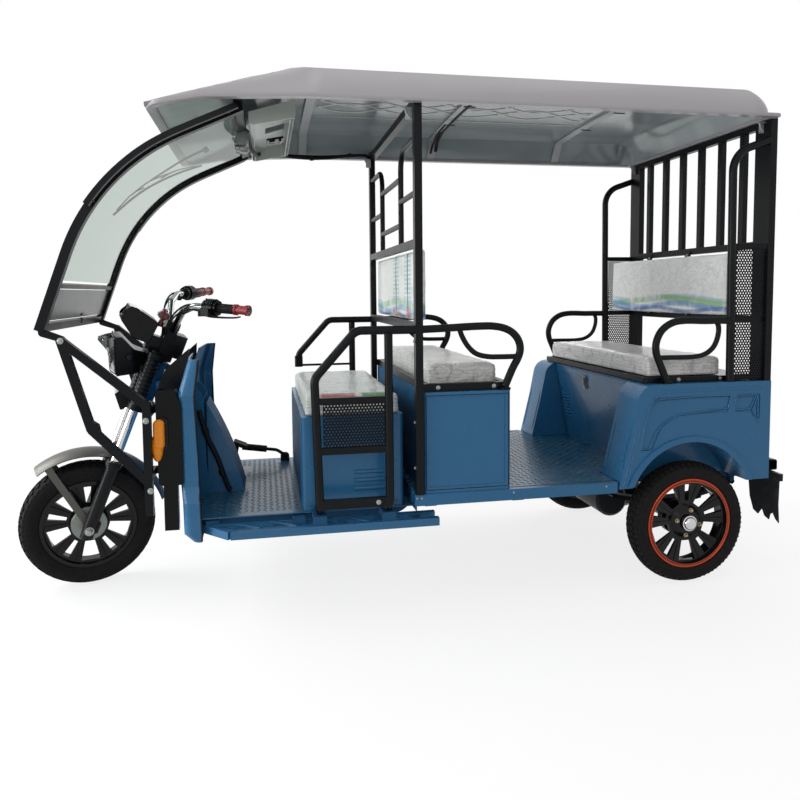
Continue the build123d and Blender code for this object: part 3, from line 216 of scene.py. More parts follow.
lining = Look("roof_lining", (148, 158, 160), 0.2, 0.05, 2.0, 0.0004, 7, coat=0.3)
lining.tint(lining.step(lining.wave("Y", 1.3, 2.5, 3.0, 0.6), 0.4, 1.0, 0.0, 0.35), srgb(184, 190, 192))
roof_lining = lining.material
lower = Look("lower_panel", (62, 67, 65), 0.22, 0.12, 5, 0.0002, 30, specular=0.25)
lower.tint(lower.step(lower.wave("Z", 9.0, 3.5, 4.0, 1.2), 0.1, 0.95, 0.0, 0.5), srgb(34, 39, 40))
lower_panel = lower.material


def glass(name, colour, relief, grain, ior=1.45):
    made = Look(name, colour, 0.03, 0.02, 1.5, relief, grain, ior=ior)
    made.feed(made.shader, {"Transmission Weight": 1.0})
    return made.material


def lens_look(name, colour):
    """A moulded lamp cover with fine prism lines across it."""
    made = Look(name, colour, 0.26, 0.1, 25, coat=0.1, specular=0.3)
    made.raise_by(made.wave("Z", 70.0), 0.0007)
    made.raise_by(made.node("TexVoronoi", {"Scale": 160.0, "Vector": made.place}).outputs["Distance"], 0.0005)
    return made.material


screen_glass = glass("screen_glass", (182, 194, 187), 0.00005, 3, 1.14)
lamp_glass = glass("lamp_clear", (226, 230, 228), 0.0006, 90)
amber = lens_look("lamp_amber", (255, 146, 6))
red_lens = lens_look("lamp_red", (170, 18, 16))


def marble_look(name, colour, vein, strength, sides=0.3):
    """Printed cloth under a thin clear film: soft grey veins, and creases that catch the light. On its upright sides,
    painted shade darkens horizontal folds, as much as sides says.
    """
    made = Look(name, colour, 0.36, 0.05, 6.0, rough_vary=0.4, coat=0.25)
    thin = made.step(made.wave("DIAGONAL", 5.5, 16.0, 6.0, 1.4, 0.62), 0.0, 0.22, 1.0, 0.0)
    gate = made.step(made.noise(7.0, 4.0, 0.6), 0.4, 0.62)
    made.tint(made.times(thin, gate, strength), vein)
    fold = made.math("ABSOLUTE", made.math("SUBTRACT", made.noise(26.0, 5.0, 0.55, 1.6), 0.5))
    made.raise_by(made.step(fold, 0.0, 0.05), 0.0011)
    facing = made.node("SeparateXYZ", {0: made.node("TexCoord", {}).outputs["Normal"]}).outputs["Z"]
    on_side = made.step(made.math("ABSOLUTE", facing), 0.35, 0.6, 1.0, 0.0)
    # painted shade: darker lines in the folds of the upright sides, sides sets how dark
    folds = made.step(made.wave("Z", 26.0, 7.0, 4.0, 0.8), 0.0, 0.3, 1.0, 0.0)
    made.tint(made.times(folds, on_side, sides), scaled(vein, 0.8))
    made.raise_by(made.noise(110.0, 3.0, 0.5), 0.00025)
    return made


seat_cover = marble_look("seat_cover", (226, 225, 222), srgb(140, 142, 142), 0.55).material

driver_look = marble_look("driver_cover", (218, 222, 219), srgb(120, 130, 136), 0.4)
wobble = driver_look.node("TexNoise", {"Scale": 9.0, "Vector": driver_look.place}).outputs["Color"]
warp = driver_look.node("VectorMath", {0: driver_look.place, 1: wobble}, operation="ADD").outputs["Vector"]
scrawl = driver_look.node("TexVoronoi", {}, feature="DISTANCE_TO_EDGE")
driver_look.feed(scrawl, {"Scale": 7.0, "Vector": warp})
inked = driver_look.step(scrawl.outputs["Distance"], 0.008, 0.024, 0.55, 0.0)
side_y, tall_z, along_x = (driver_look.axis(letter) for letter in "YZX")
driver_look.tint(driver_look.times(inked, driver_look.step(tall_z, 0.716, 0.722)), srgb(112, 122, 130))
edge = driver_look.times(driver_look.step(side_y, 0.342, 0.346), driver_look.step(tall_z, 0.700, 0.704))
for low, high, shade in ((0.215, 0.345, srgb(176, 58, 66)), (0.095, 0.205, srgb(70, 142, 82))):
    part = driver_look.times(driver_look.step(along_x, low, low + 0.012),
                             driver_look.step(along_x, high - 0.012, high, 1.0, 0.0), edge, 0.85)
    driver_look.tint(part, shade)
driver_cover = driver_look.material


def backrest_look(name, foot, ticks):
    """A pale cover with soft bands of blue and green swelling along its foot."""
    made = marble_look(name, (250, 251, 249), srgb(222, 226, 226), 0.3, 0.0)
    side, tall = made.axis("Y"), made.axis("Z")
    for rise, swing, speed, shift, width, shade in (
            (0.062, 0.010, 9.0, 0.4, 0.014, srgb(176, 204, 222)),
            (0.052, 0.013, 7.0, 1.3, 0.020, srgb(126, 190, 112)),
            (0.034, 0.010, 11.0, 0.2, 0.016, srgb(84, 148, 206)),
            (0.018, 0.007, 15.0, 2.0, 0.012, srgb(52, 104, 178))):
        crest = made.times(made.math("SINE", made.math("ADD", made.times(side, speed), shift)), swing)
        gap = made.math("ABSOLUTE", made.math("SUBTRACT", tall, made.math("ADD", crest, foot + rise)))
        body = made.step(gap, width * 0.3, width, 0.85, 0.0)
        made.tint(made.times(body, made.step(made.noise(8.0, 4.0, 0.6), 0.3, 0.55)), shade)
    made.tint(made.times(made.step(made.noise(5.0, 5.0, 0.6), 0.5, 0.75, 0.0, 0.5),
                         made.step(tall, foot + 0.05, foot + 0.2)), srgb(204, 200, 214))
    for at, shade in ((0.02, srgb(222, 120, 96)), (0.24, srgb(228, 92, 66))) if ticks else ():
        gap = made.math("ABSOLUTE", made.math("SUBTRACT", side, at))
        rungs = made.step(made.math("FRACT", made.times(tall, 62.0)), 0.25, 0.4)
        made.tint(made.times(rungs, made.step(gap, 0.05, 0.075, 0.7, 0.0), made.step(tall, foot + 0.04, foot + 0.06)),
                  srgb(150, 206, 214))
        made.tint(made.times(made.step(gap, 0.012, 0.03, 0.9, 0.0),
                             made.step(tall, foot + 0.035, foot + 0.05, 1.0, 0.0)), shade)
        made.tint(made.times(made.step(gap, 0.008, 0.010, 1.0, 0.0), made.step(tall, foot + 0.03, foot + 0.032)),
                  srgb(28, 30, 34))
    return made.material


front_back_cover = backrest_look("front_backrest_cover", 0.962, True)
rear_back_cover = backrest_look("rear_backrest_cover", 0.965, False)


# light, floor and background

def shown(tree):
    """1 for the rays that show the background: those of the camera, of mirrors and through glass."""
    rays = tree.node("LightPath", {}).outputs
    direct = tree.math("MAXIMUM", rays["Is Camera Ray"], rays["Is Glossy Ray"])
    return tree.math("MAXIMUM", direct, rays["Is Transmission Ray"])


scene.world = bpy.data.worlds.new("studio")
sky = Nodes(scene.world)
strength = sky.node("MapRange", {"To Min": 0.45, "To Max": 1.0, "Value": shown(sky)}).outputs["Result"]
sky.feed(sky.tree.nodes["Background"], {"Color": (1, 1, 1, 1), "Strength": strength})

floor_mesh = bpy.data.meshes.new("floor")
shape = bmesh.new()
bmesh.ops.create_grid(shape, x_segments=2, y_segments=2, size=40)
shape.to_mesh(floor_mesh)
shape.free()
floor = bpy.data.objects.new("floor", floor_mesh)
scene.collection.objects.link(floor)
floor_mesh.materials.append(bpy.data.materials.new("floor_white"))
ground = Nodes(floor_mesh.materials[0])
matt = ground.tree.nodes["Principled BSDF"]
rays = shown(ground)
tone = ground.mix(rays, (0.5, 0.5, 0.5, 1), (1, 1, 1, 1))
ground.feed(matt, {"Roughness": 1.0, "Specular IOR Level": 0.0, "Base Color": tone})
away = ground.node("VectorMath", {0: ground.node("TexCoord", {}).outputs["Object"]}, operation="LENGTH")
share = ground.times(rays, ground.step(away.outputs["Value"], 0.9, 3.0, 0.8, 1.0))
glow = ground.node("Emission", {})
both = ground.node("MixShader", {0: share, 1: matt.outputs[0], 2: glow.outputs[0]})
ground.feed(ground.tree.nodes["Material Output"], {"Surface": both.outputs[0]})


def lamp(name, at, towards, size, power):
    data = bpy.data.lights.new(name, "AREA")
    data.shape = "RECTANGLE"
    data.size, data.size_y = size
    data.energy = power
    made = bpy.data.objects.new(name, data)
    made.location = at
    made.rotation_euler = (Vector(towards) - Vector(at)).to_track_quat("-Z", "Y").to_euler()
    scene.collection.objects.link(made)


lamp("key", (4.8, -1.2, 3.8), (0.2, 0.0, 0.8), (3.0, 3.0), 250)
lamp("fill", (1.4, 5.2, 3.0), (-0.2, 0.0, 0.8), (4.5, 3.0), 34)
lamp("top", (-0.6, 0.2, 5.2), (-0.4, 0.0, 1.0), (4.0, 3.0), 32)
lamp("far", (-3.4, -3.4, 3.0), (-0.4, 0.0, 1.0), (3.0, 2.5), 60)
lamp("front", (5.6, 1.0, 1.3), (-0.8, 0.0, 1.0), (3.0, 1.6), 190)


# materials for the CAD's own pieces

def dress(name, *materials, pick=None):
    """Gives a CAD node its materials. pick tells the material's number from a face's middle and normal."""
    mesh = nodes[name].data
    mesh.materials.clear()
    for material in materials:
        mesh.materials.append(material)
    for face in mesh.polygons:
        face.material_index = int(pick(face.center * 1000, face.normal)) if pick else 0


# The steering stands turned, about an axis that leans back and runs behind the axle. Metres here
FRONT_AXLE, REAR_AXLE = Vector((1170, 0, 231.0)) / 1000, Vector((-972, 440, 221)) / 1000
RAKE, TRAIL, TURN = math.radians(21.5), 0.035, math.radians(14.0)
FRONT_R, CROWN_R = 0.232, 0.060
UP = Vector((-math.sin(RAKE), 0, math.cos(RAKE)))
FORWARD = Vector((math.cos(RAKE), 0, math.sin(RAKE)))
lean = math.asin(math.sin(RAKE) * math.sin(TURN))
FRONT_AXLE.z = (FRONT_R - CROWN_R) * math.cos(lean) + CROWN_R + TRAIL * math.sin(RAKE) * (1 - math.cos(TURN))
pivot = FRONT_AXLE - FORWARD * TRAIL
STEER = Matrix.Translation(pivot) @ Matrix.Rotation(TURN, 4, UP) @ Matrix.Translation(-pivot)
UNSTEER = STEER.inverted()


def straight(point):
    """A millimetre point on the steering, where it would be with the wheel straight ahead."""
    return UNSTEER @ (Vector(point) / 1000) * 1000


def pick_roof(c, n):
    under_rim = c.z < 1676 and abs(c.y) < 519 and n.z < -0.5
    return not under_rim and (c - Vector((-200, 0, 1600))).dot(n) < 0


def pick_rear_rim(c, n):
    return math.hypot(c.x + 972, c.z - 221) > 157 and abs(c.y) > 466


def pick_front_rim(c, n):
    p = straight(c) / 1000 - FRONT_AXLE
    return math.hypot(p.x, p.z) * 1000 < 63 and p.y > 0.005


def pick_floor(c, n):
    if n.z > 0.9 and abs(c.y) < 464:
        return 1
    return 2 if n.z < -0.9 else 0


def pick_fork(c, n):
    p = straight(c) / 1000 - FRONT_AXLE
    return 262 < p.dot(UP) * 1000 < 480 and abs(abs(p.y * 1000) - 76) < 17.5


def pick_apron(c, n):
    return n.x < -0.3 or (n.z > 0.3 and abs(c.y) < 93)


def pick_dial(c, n):
    return straight(c).z > 1008 and n.z > 0.3 and abs(straight(c).y) < 60


for material, names in (
        (black_steel, "windshield_stand windshield_frame windshield_bars mid_frame mid_ladder front_seat_rail "
                      "side_rail_left side_rail_right mid_armrests rear_cage rear_armrests rear_seat_board "
                      "rear_bumper leaf_springs rear_axle fork_yokes"),
        (paint, "side_steps rear_body"), (paint_low, "chassis_frame cross_members"),
        (black_plastic, "steering_cowl bar_clamp bar_controls headlamp_housing"), (pod_plastic, "front_side_pods"),
        (stripe_metal, "roof_bows"), (console_white, "overhead_console"), (trim_rubber, "roof_wiring"),
        (dark_cast, "drive_motor"), (machine, "wiper"), (flap_rubber, "rear_mudflaps"), (red_lens, "tail_lamps"),
        (grip_rubber, "brake_controls"), (battery, "battery_pack"), (dark_chrome, "handlebar"),
        (lamp_glass, "headlamp_lens")):
    for name in names.split():
        dress(name, material)
dress("floor_plates", paint, chequer, paint_low, pick=pick_floor)
dress("front_apron", paint, paint_low, pick=pick_apron)
dress("front_indicators", black_plastic, amber, pick=lambda c, n: abs(c.y) > 413.4)
dress("windshield_glass", screen_glass, lower_panel, pick=lambda c, n: c.z < 1092)
dress("roof_shell", roof_skin, roof_lining, pick=pick_roof)
for name in ("front_seat_box", "driver_seat_box"):
    dress(name, paint, paint_low, pick=lambda c, n: n.z < -0.8 or abs(n.x) > 0.8)
dress("fork_legs", black_steel, chrome, pick=pick_fork)
dress("front_mudguard", mudguard, black_steel, pick=lambda c, n: abs(straight(c).y) > 57)
dress("grips", grip_rubber, grip_red, pick=lambda c, n: straight(c).x < 700)
dress("instrument_pod", black_plastic, dial_face, pick=pick_dial)
dress("spot_lamp", black_plastic, lamp_bowl, pick=lambda c, n: straight(c).x > 1050)
dress("front_rim", wheel_black, hub_grey, pick=pick_front_rim)
dress("rear_rim_left", wheel_black, rim_copper, pick=pick_rear_rim)
dress("rear_rim_right", wheel_black, rim_copper, pick=pick_rear_rim)


# mesh tools

def circle(count):
    return [2 * math.pi * k / count for k in range(count)]


def polar(angle, radius, y=0):
    """A point on a wheel, from its middle."""
    return Vector((math.cos(angle) * radius, y, math.sin(angle) * radius))


def smooth_path(points, steps):
    """A smooth line through the given points."""
    p = [Vector(q) for q in points]
    p = [p[0] * 2 - p[1]] + p + [p[-1] * 2 - p[-2]]
    line = []
    for i in range(1, len(p) - 2):
        for k in range(steps):
            t = k / steps
            line.append(0.5 * (2 * p[i] + (p[i + 1] - p[i - 1]) * t
                               + (2 * p[i - 1] - 5 * p[i] + 4 * p[i + 1] - p[i + 2]) * t ** 2
                               + (3 * p[i] - p[i - 1] - 3 * p[i + 1] + p[i + 2]) * t ** 3))
    return line + [p[-2]]


class Piece:
    """A mesh piece built up from parts given in millimetres. What rides on the steering is given
    as it is with the wheel straight ahead, and is turned when it is done."""

    def __init__(self, name, material, slot, body="root"):
        self.name, self.material, self.slot, self.body = name, material, slot, body
        self.bm = bmesh.new()

    def ring(self, points):
        return [self.bm.verts.new(p) for p in points]

    def faces(self, corners):
        for face in corners:
            self.bm.faces.new(face)

    def skin(self, rings, closed=False):
        for a, b in list(zip(rings, rings[1:])) + ([(rings[-1], rings[0])] if closed else []):
            n = len(a)
            self.faces((a[k], a[(k + 1) % n], b[(k + 1) % n], b[k]) for k in range(n))
        if not closed:
            self.faces([list(reversed(rings[0])), rings[-1]])

    def strips(self, rows):
        """Faces between rows of points that don't close on themselves."""
        for a, b in zip(rows, rows[1:]):
            self.faces((a[k], a[k + 1], b[k + 1], b[k]) for k in range(len(a) - 1))

    def tube(self, points, radius, sides=8, steps=1, flat=1.0, facing=None):
        """A tube along points. flat squeezes it across the direction it faces."""
        line = smooth_path(points, steps) if steps > 1 else [Vector(p) for p in points]
        rings, normal = [], Vector(facing) if facing else None
        for i, here in enumerate(line):
            ahead = (line[min(i + 1, len(line) - 1)] - line[max(i - 1, 0)]).normalized()
            if normal is None:
                normal = ahead.orthogonal()
            normal = (normal - ahead * normal.dot(ahead)).normalized()
            wide = ahead.cross(normal)
            size = radius(i / (len(line) - 1)) if callable(radius) else radius
            rings.append(self.ring([here + normal * (math.cos(a) * size * flat) + wide * (math.sin(a) * size)
                                    for a in circle(sides)]))
        self.skin(rings)

    def box(self, at, size, axes=(X, Y, Z), bevel=1.0):
        """A block with bevelled edges, on its own axes if they are given."""
        part = bmesh.new()
        bmesh.ops.create_cube(part, size=1.0)
        for v in part.verts:
            v.co = Vector((v.co.x * size[0], v.co.y * size[1], v.co.z * size[2]))
        if bevel:
            bmesh.ops.bevel(part, geom=list(part.edges), offset=bevel, segments=2, affect="EDGES")
        table = {v: self.bm.verts.new(Vector(at) + axes[0] * v.co.x + axes[1] * v.co.y + axes[2] * v.co.z)
                 for v in part.verts}
        self.faces([table[v] for v in f.verts] for f in part.faces)
        part.free()

    def turned(self, at, axis, rows, sides=24):
        """A round form: rows of (distance along axis, radius) from one end to the other."""
        axis = Vector(axis).normalized()
        u = axis.orthogonal().normalized()
        w = axis.cross(u)
        self.skin([self.ring([Vector(at) + axis * along + (u * math.cos(a) + w * math.sin(a)) * radius
                              for a in circle(sides)]) for along, radius in rows])

    def bolt(self, at, axis, radius=6.0, tall=5.0):
        """A hexagon head on a washer, with a chamfered top."""
        axis = Vector(axis).normalized()
        self.turned(at, axis, [(0, radius * 1.5), (1.0, radius * 1.5), (1.3, radius * 1.35)], 20)
        self.turned(Vector(at) + axis * 1.2, axis, [(0, radius), (tall * 0.8, radius), (tall, radius * 0.78)], 6)

    def done(self, smooth=35.0, weld=True):
        if weld:
            bmesh.ops.remove_doubles(self.bm, verts=self.bm.verts, dist=0.001)
        bmesh.ops.recalc_face_normals(self.bm, faces=self.bm.faces)
        steered = self.body in ("steering", "front_wheel")
        for v in self.bm.verts:
            v.co = STEER @ (v.co / 1000) if steered else v.co / 1000
        mesh = bpy.data.meshes.new(self.name)
        self.bm.to_mesh(mesh)
        self.bm.free()
        if smooth:
            mesh.shade_smooth()
            mesh.set_sharp_from_angle(angle=math.radians(smooth))
        mesh.materials.append(self.material)
        made = bpy.data.objects.new(self.name, mesh)
        scene.collection.objects.link(made)
        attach(made, self.body)
        return made


# wheels

RIM_R, HALF_WIDE, BEAD_R = 163.0, 45.0, 157.0


def arc_points(a, b, c, count):
    """Points on the circle through three (u, v) points, from the first to the last."""
    (ax, ay), (bx, by), (cx, cy) = a, b, c
    d = 2 * (ax * (by - cy) + bx * (cy - ay) + cx * (ay - by))
    ux = ((ax ** 2 + ay ** 2) * (by - cy) + (bx ** 2 + by ** 2) * (cy - ay) + (cx ** 2 + cy ** 2) * (ay - by)) / d
    uy = ((ax ** 2 + ay ** 2) * (cx - bx) + (bx ** 2 + by ** 2) * (ax - cx) + (cx ** 2 + cy ** 2) * (bx - ax)) / d
    radius = math.hypot(ax - ux, ay - uy)
    first, last = math.atan2(ay - uy, ax - ux), math.atan2(cy - uy, cx - ux)
    while last - first > math.pi:
        last -= 2 * math.pi
    while first - last > math.pi:
        last += 2 * math.pi
    return [(ux + radius * math.cos(first + (last - first) * i / count),
             uy + radius * math.sin(first + (last - first) * i / count)) for i in range(count + 1)]


def crown_point(radius, side, sink):
    """Where the tread's surface is at a share of the half width, -1 to 1, sunk by some millimetres."""
    shoulder = (HALF_WIDE - 5, radius - 15)
    line = arc_points((-shoulder[0], shoulder[1]), (0, radius), shoulder, 40)
    spot = (side + 1) / 2 * 40
    i = min(39, int(spot))
    t = spot - i
    y = line[i][0] * (1 - t) + line[i + 1][0] * t
    r = line[i][1] * (1 - t) + line[i + 1][1] * t
    centre = radius - 60.0
    length = math.hypot(y, r - centre)
    return y * (1 - sink / length), centre + (r - centre) * (1 - sink / length)


def tyre(name, body, radius, knobs, place):
    """A carcass with beads and rings on its sides, and a tread of separate blocks."""
    piece = Piece(name, tyre_rubber, "tyre_rubber", body)
    shoulder = (HALF_WIDE - 5, radius - 15)
    flank = arc_points((33, RIM_R), (HALF_WIDE, (RIM_R + radius) / 2 - 4), shoulder, 12)
    flank = [(y - 0.6, r) for y, r in flank]
    for i, swell in ((2, 1.2), (9, 0.6)):
        flank[i] = (flank[i][0] + swell, flank[i][1])
    crown = [crown_point(radius, 1 - i / 6, 4.5) for i in range(1, 12)]
    profile = [(33, BEAD_R)] + flank + crown + [(-y, r) for y, r in reversed(flank)] + [(-33, BEAD_R)]
    piece.skin([piece.ring([polar(a, r, y) for y, r in profile]) for a in circle(96)], closed=True)
    for low, high, total, start, slant in knobs:
        for k in range(total):
            a0 = 2 * math.pi * (k + start) / total
            a1 = a0 + 2 * math.pi / total * 0.66
            corners = []
            for sink, pull in ((5.5, 0.0), (0.0, 0.06)):
                for side, angle in ((low, a0), (high, a0 + slant), (high, a1 + slant), (low, a1)):
                    middle = (a0 + a1 + slant) / 2
                    angle = angle + (middle - angle) * pull
                    y, r = crown_point(radius, side + ((low + high) / 2 - side) * pull, sink)
                    corners.append(polar(angle, r, y))
            v = piece.ring(corners)
            piece.faces([v[i] for i in face] for face in ((3, 2, 1, 0), (4, 5, 6, 7), (0, 1, 5, 4), (1, 2, 6, 5),
                                                          (2, 3, 7, 6), (3, 0, 4, 7)))
    for k in range(72):
        for side in SIDES:
            a = 2 * math.pi * (k + 0.5) / 72
            out, up_ = polar(a, 1), Vector((-math.sin(a), 0, math.cos(a)))
            piece.box(out * (shoulder[1] - 4) + Y * side * (shoulder[0] + 1.2 - 1.0), (9, 3.4, 4.5), (out, Y, up_),
                      0.0)
    for v in piece.bm.verts:
        v.co = v.co + place * 1000
    return piece.done(38, weld=False)


def spoke_ridges(tag, body, centre, side):
    piece = Piece(f"spoke_ridges_{tag}", wheel_black, "wheel_black", body)
    for k in range(5):
        for swing in (-20.5, 20.5):
            out = polar(math.radians(54 + 72 * k + swing), 1)
            start, end = centre + out * 66 + Y * side * 12.5, centre + out * 146 + Y * side * 25
            piece.tube([start, (start + end) / 2 + Y * side * 1.5, end], lambda t: 5.5 - 2 * t, 8, 4, 0.45, Y * side)
    piece.done()


# Rows of blocks: from and to across the tread, how many, where they start and how far they slant
FRONT_KNOBS = [(-0.98, -0.66, 46, 0.0, 0.02), (0.66, 0.98, 46, 0.0, 0.02), (-0.58, -0.28, 46, 0.5, -0.03),
               (0.28, 0.58, 46, 0.5, -0.03), (-0.20, 0.20, 46, 0.0, 0.0)]
REAR_KNOBS = [(-0.98, -0.60, 58, 0.0, 0.03), (0.60, 0.98, 58, 0.0, 0.03), (-0.54, -0.22, 58, 0.5, -0.04),
              (0.22, 0.54, 58, 0.5, -0.04), (-0.17, 0.17, 58, 0.0, 0.02)]
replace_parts(tyre("tyre_front", "front_wheel", 232.0, FRONT_KNOBS, FRONT_AXLE), "front_tyre")
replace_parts(tyre("tyre_rear_left", "rear_wheel_left", 221.0, REAR_KNOBS, REAR_AXLE), "rear_tyre_left")
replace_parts(tyre("tyre_rear_right", "rear_wheel_right", 221.0, REAR_KNOBS,
                 Vector((REAR_AXLE.x, -REAR_AXLE.y, REAR_AXLE.z))), "rear_tyre_right")

for side, tag in ((1, "left"), (-1, "right")):
    body, centre = f"rear_wheel_{tag}", Vector((-972, side * 440, 221))
    cap = Piece(f"hub_cap_{tag}", chrome, "bright_metal", body)
    cap.turned(centre + Y * side * 20, Y * side, [(0, 25), (18, 25), (20, 24), (24, 23), (28, 21), (31, 17), (33, 11),
                                                  (33.6, 4)], 32)
    cap.turned(centre + Y * side * 20, Y * side, [(17, 28), (19.5, 28), (20.5, 26)], 32)
    cap.done()
    nuts = Piece(f"wheel_lugs_{tag}", brass, "bright_metal", body)
    for k in range(4):
        at = centre + polar(math.radians(12 + 90 * k), 46, side * 27)
        nuts.turned(at, Y * side, [(0, 8.5), (3, 8.5), (4, 7.5)], 20)
        nuts.turned(at + Y * side * 3, Y * side, [(0, 5.8), (6, 5.8), (8, 4.2)], 6)
    nuts.done()
    lip = Piece(f"rim_lip_{tag}", rim_copper, "wheel_black", body)
    for inner, outer in ((156, 163), (150.5, 152.3)):
        rows = [(36.6, inner), (38.4, inner + 1.5), (39.2, outer - 3), (37.6, outer), (35.5, outer), (35.5, inner)]
        lip.skin([lip.ring([centre + polar(a, r, side * y) for y, r in rows]) for a in circle(96)], closed=True)
    lip.done()
    spoke_ridges(tag, body, centre, side)

base = FRONT_AXLE * 1000
hub = Piece("front_hub_disc", hub_grey, "bright_metal", "front_wheel")
hub.turned(base + Y * 20, Y, [(0, 60), (9, 62), (11, 60), (12, 30)], 48)
hub.turned(base - Y * 40, Y, [(0, 50), (3, 55), (16, 55)], 48)
hub.done()
nut = Piece("front_axle_nuts", zinc, "bright_metal", "steering")
for side in SIDES:
    nut.turned(base + Y * side * 100, Y * side, [(0, 16), (2.5, 16), (3, 14)], 28)
    nut.turned(base + Y * side * 102, Y * side, [(0, 12.5), (8, 12.5), (10, 10.5)], 6)
    nut.turned(base + Y * side * 110, Y * side, [(0, 7.5), (6, 7.5), (7, 6)], 16)
nut.done()
spoke_ridges("front", "front_wheel", base, 1)


# perforated sheets

def perforated(name, corner, wide, tall):
    """An upright sheet along x with staggered round holes, its rows set half a step apart."""
    columns, rows, hole = int(wide / 10.4), int(tall / 9.0), 3.1
    step, rise = wide / columns, tall / rows
    square = [(x * step / 2, z * rise / 2) for x, z in ((1, 0), (1, 1), (0, 1), (-1, 1), (-1, 0), (-1, -1), (0, -1),
                                                        (1, -1))]
    piece = Piece(name, black_steel, "black_steel")
    for level_ in (0.75, -0.75):
        order = 1 if level_ > 0 else -1

        def at(u, v):
            return Vector(corner) + X * u + Z * v - Y * level_

        for j in range(rows):
            shift = 0.5 if j % 2 else 0.0
            for i in range(columns - (1 if shift else 0)):
                u, v = (i + 0.5 + shift) * step, (j + 0.5) * rise
                a = piece.ring([at(u + du, v + dv) for du, dv in square])
                b = piece.ring([at(u + hole * math.cos(math.pi / 4 * k), v + hole * math.sin(math.pi / 4 * k))
                                for k in range(8)])
                piece.faces((a[k], a[(k + 1) % 8], b[(k + 1) % 8], b[k])[::order] for k in range(8))
            for u0, u1 in ((0, step / 2), (wide - step / 2, wide)) if shift else ():
                quad = [at(u0, j * rise), at(u1, j * rise), at(u1, (j + 1) * rise), at(u0, (j + 1) * rise)]
                piece.faces([piece.ring(quad[::order])])
    return piece.done(0, weld=False)


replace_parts(perforated("rail_mesh", (139.5, 480, 563.5), 202, 140), "mesh_panels")
for side, tag in ((1, "left"), (-1, "right")):
    for low, high, part in ((737, 944, "low"), (962, 1206, "high")):
        perforated(f"cage_mesh_{part}_{tag}", (-1253, side * 475, low), 118, high - low)


# chequer plate lugs

def floor_lugs(name, x_range, y_range, z, skip):
    """Rows of small raised bars, turned one way and the other."""
    piece = Piece(name, chequer, "blue_paint")
    step = 21.0
    for i in range(int((x_range[1] - x_range[0]) / step)):
        for j in range(int((y_range[1] - y_range[0]) / step)):
            c = Vector((x_range[0] + (i + 0.5) * step, y_range[0] + (j + 0.5) * step, z))
            if skip(c):
                continue
            a = math.radians(45 if (i + j) % 2 else -45)
            u, w = Vector((math.cos(a), math.sin(a), 0)), Vector((-math.sin(a), math.cos(a), 0))
            v = piece.ring([c + u * 9.5, c + w * 2.8, c - u * 9.5, c - w * 2.8, c + u * 5 + Z * 1.2,
                            c - u * 5 + Z * 1.2])
            piece.faces([v[k] for k in face] for face in ((0, 1, 4), (1, 2, 5), (2, 3, 5), (3, 0, 4), (1, 5, 4),
                                                          (3, 4, 5)))
    piece.done(0, weld=False)


floor_lugs("driver_floor_lugs", (415, 725), (-385, 385), 335.1,
           lambda c: (abs(c.y) < 108 and c.x > 585) or (c.y < -180 and 590 < c.x < 680 and c.y > -270)
           or (c.x < 480 and -365 < c.y < -318))
floor_lugs("cabin_floor_lugs", (-850, -300), (-455, 455), 392.1, lambda c: c.x < -668 and abs(c.y) > 325)


# apron trim, spine pipe, beads and seams

trim = Piece("apron_trim", trim_rubber, "black_rubber")
for side in SIDES:
    edge_line = [(731, 402, 851), (738, 408, 795), (745, 413, 738), (745, 405, 716), (743, 402, 600), (739, 402, 440),
                 (737, 414, 416), (735, 426, 392), (733, 428, 340), (732, 428, 290), (733, 421, 266)]
    trim.tube([(x, side * (y - 1.5), z) for x, y, z in edge_line], 4.6, 8, 4, 0.8)
trim.done(60)

pipe = Piece("spine_pipe", trim_rubber, "black_rubber")
pipe.tube([(757, 101, 640), (752, 102, 612), (728, 102, 531), (700, 102, 467), (676, 102, 392), (662, 102, 352),
           (652, 104, 342)], 9, 12, 4)
for x, z in ((738, 566), (684, 412)):
    pipe.tube([(x - 3, 102, z - 10), (x + 3, 102, z + 6)], 11.5, 12, 1)
pipe.done(50)


def bead(piece, points, radius=1.6, steps=5, flat=0.7, facing=Y):
    piece.tube(points, radius, 6, steps, flat, facing)


def bulkhead_x(z):
    return -859 + (z - 386) * 47 / 315


seams = Piece("body_seams", paint, "blue_paint")
for side in SIDES:
    for off in (0.0, 11.0):
        line = [(-706 - off, 372), (-724 - off, 452), (-743 - off, 530), (-762 - off, 592), (-784 - off, 648 - off / 2),
                (-812 - off, 692 - off), (-852, 709 - off), (-960, 713 - off), (-1120, 713 - off), (-1266, 713 - off)]
        bead(seams, [(x, side * 489.0, z) for x, z in line], 1.8)
    front_line = [(-700, 420), (-716, 492), (-733, 560), (-746, 610), (-757, 655)]
    for y in (362, 472):
        bead(seams, [(x + 0.5, side * y, z) for x, z in front_line], 1.6, facing=X)
    for x, z in (front_line[0], front_line[-1]):
        bead(seams, [(x + 0.6, side * 362, z), (x + 0.6, side * 417, z), (x + 0.6, side * 472, z)], 1.6, 2,
             facing=X)
for z in (402, 722):
    bead(seams, [(bulkhead_x(z) + 0.6, y, z) for y in (-336, -160, 0, 160, 336)], 1.5, 2, facing=X)
seams.done(70)

vents = Piece("bulkhead_vents", paint, "blue_paint")
for k in range(8):
    z = 495 + k * 14.5
    x = bulkhead_x(z)
    vents.tube([(x, -302, z), (x + 3.5, -294, z), (x + 3.8, -275, z), (x + 3.5, -256, z), (x, -248, z)], 3.6, 8, 3,
               0.8, (1, 0, 0))
vents.done(70)

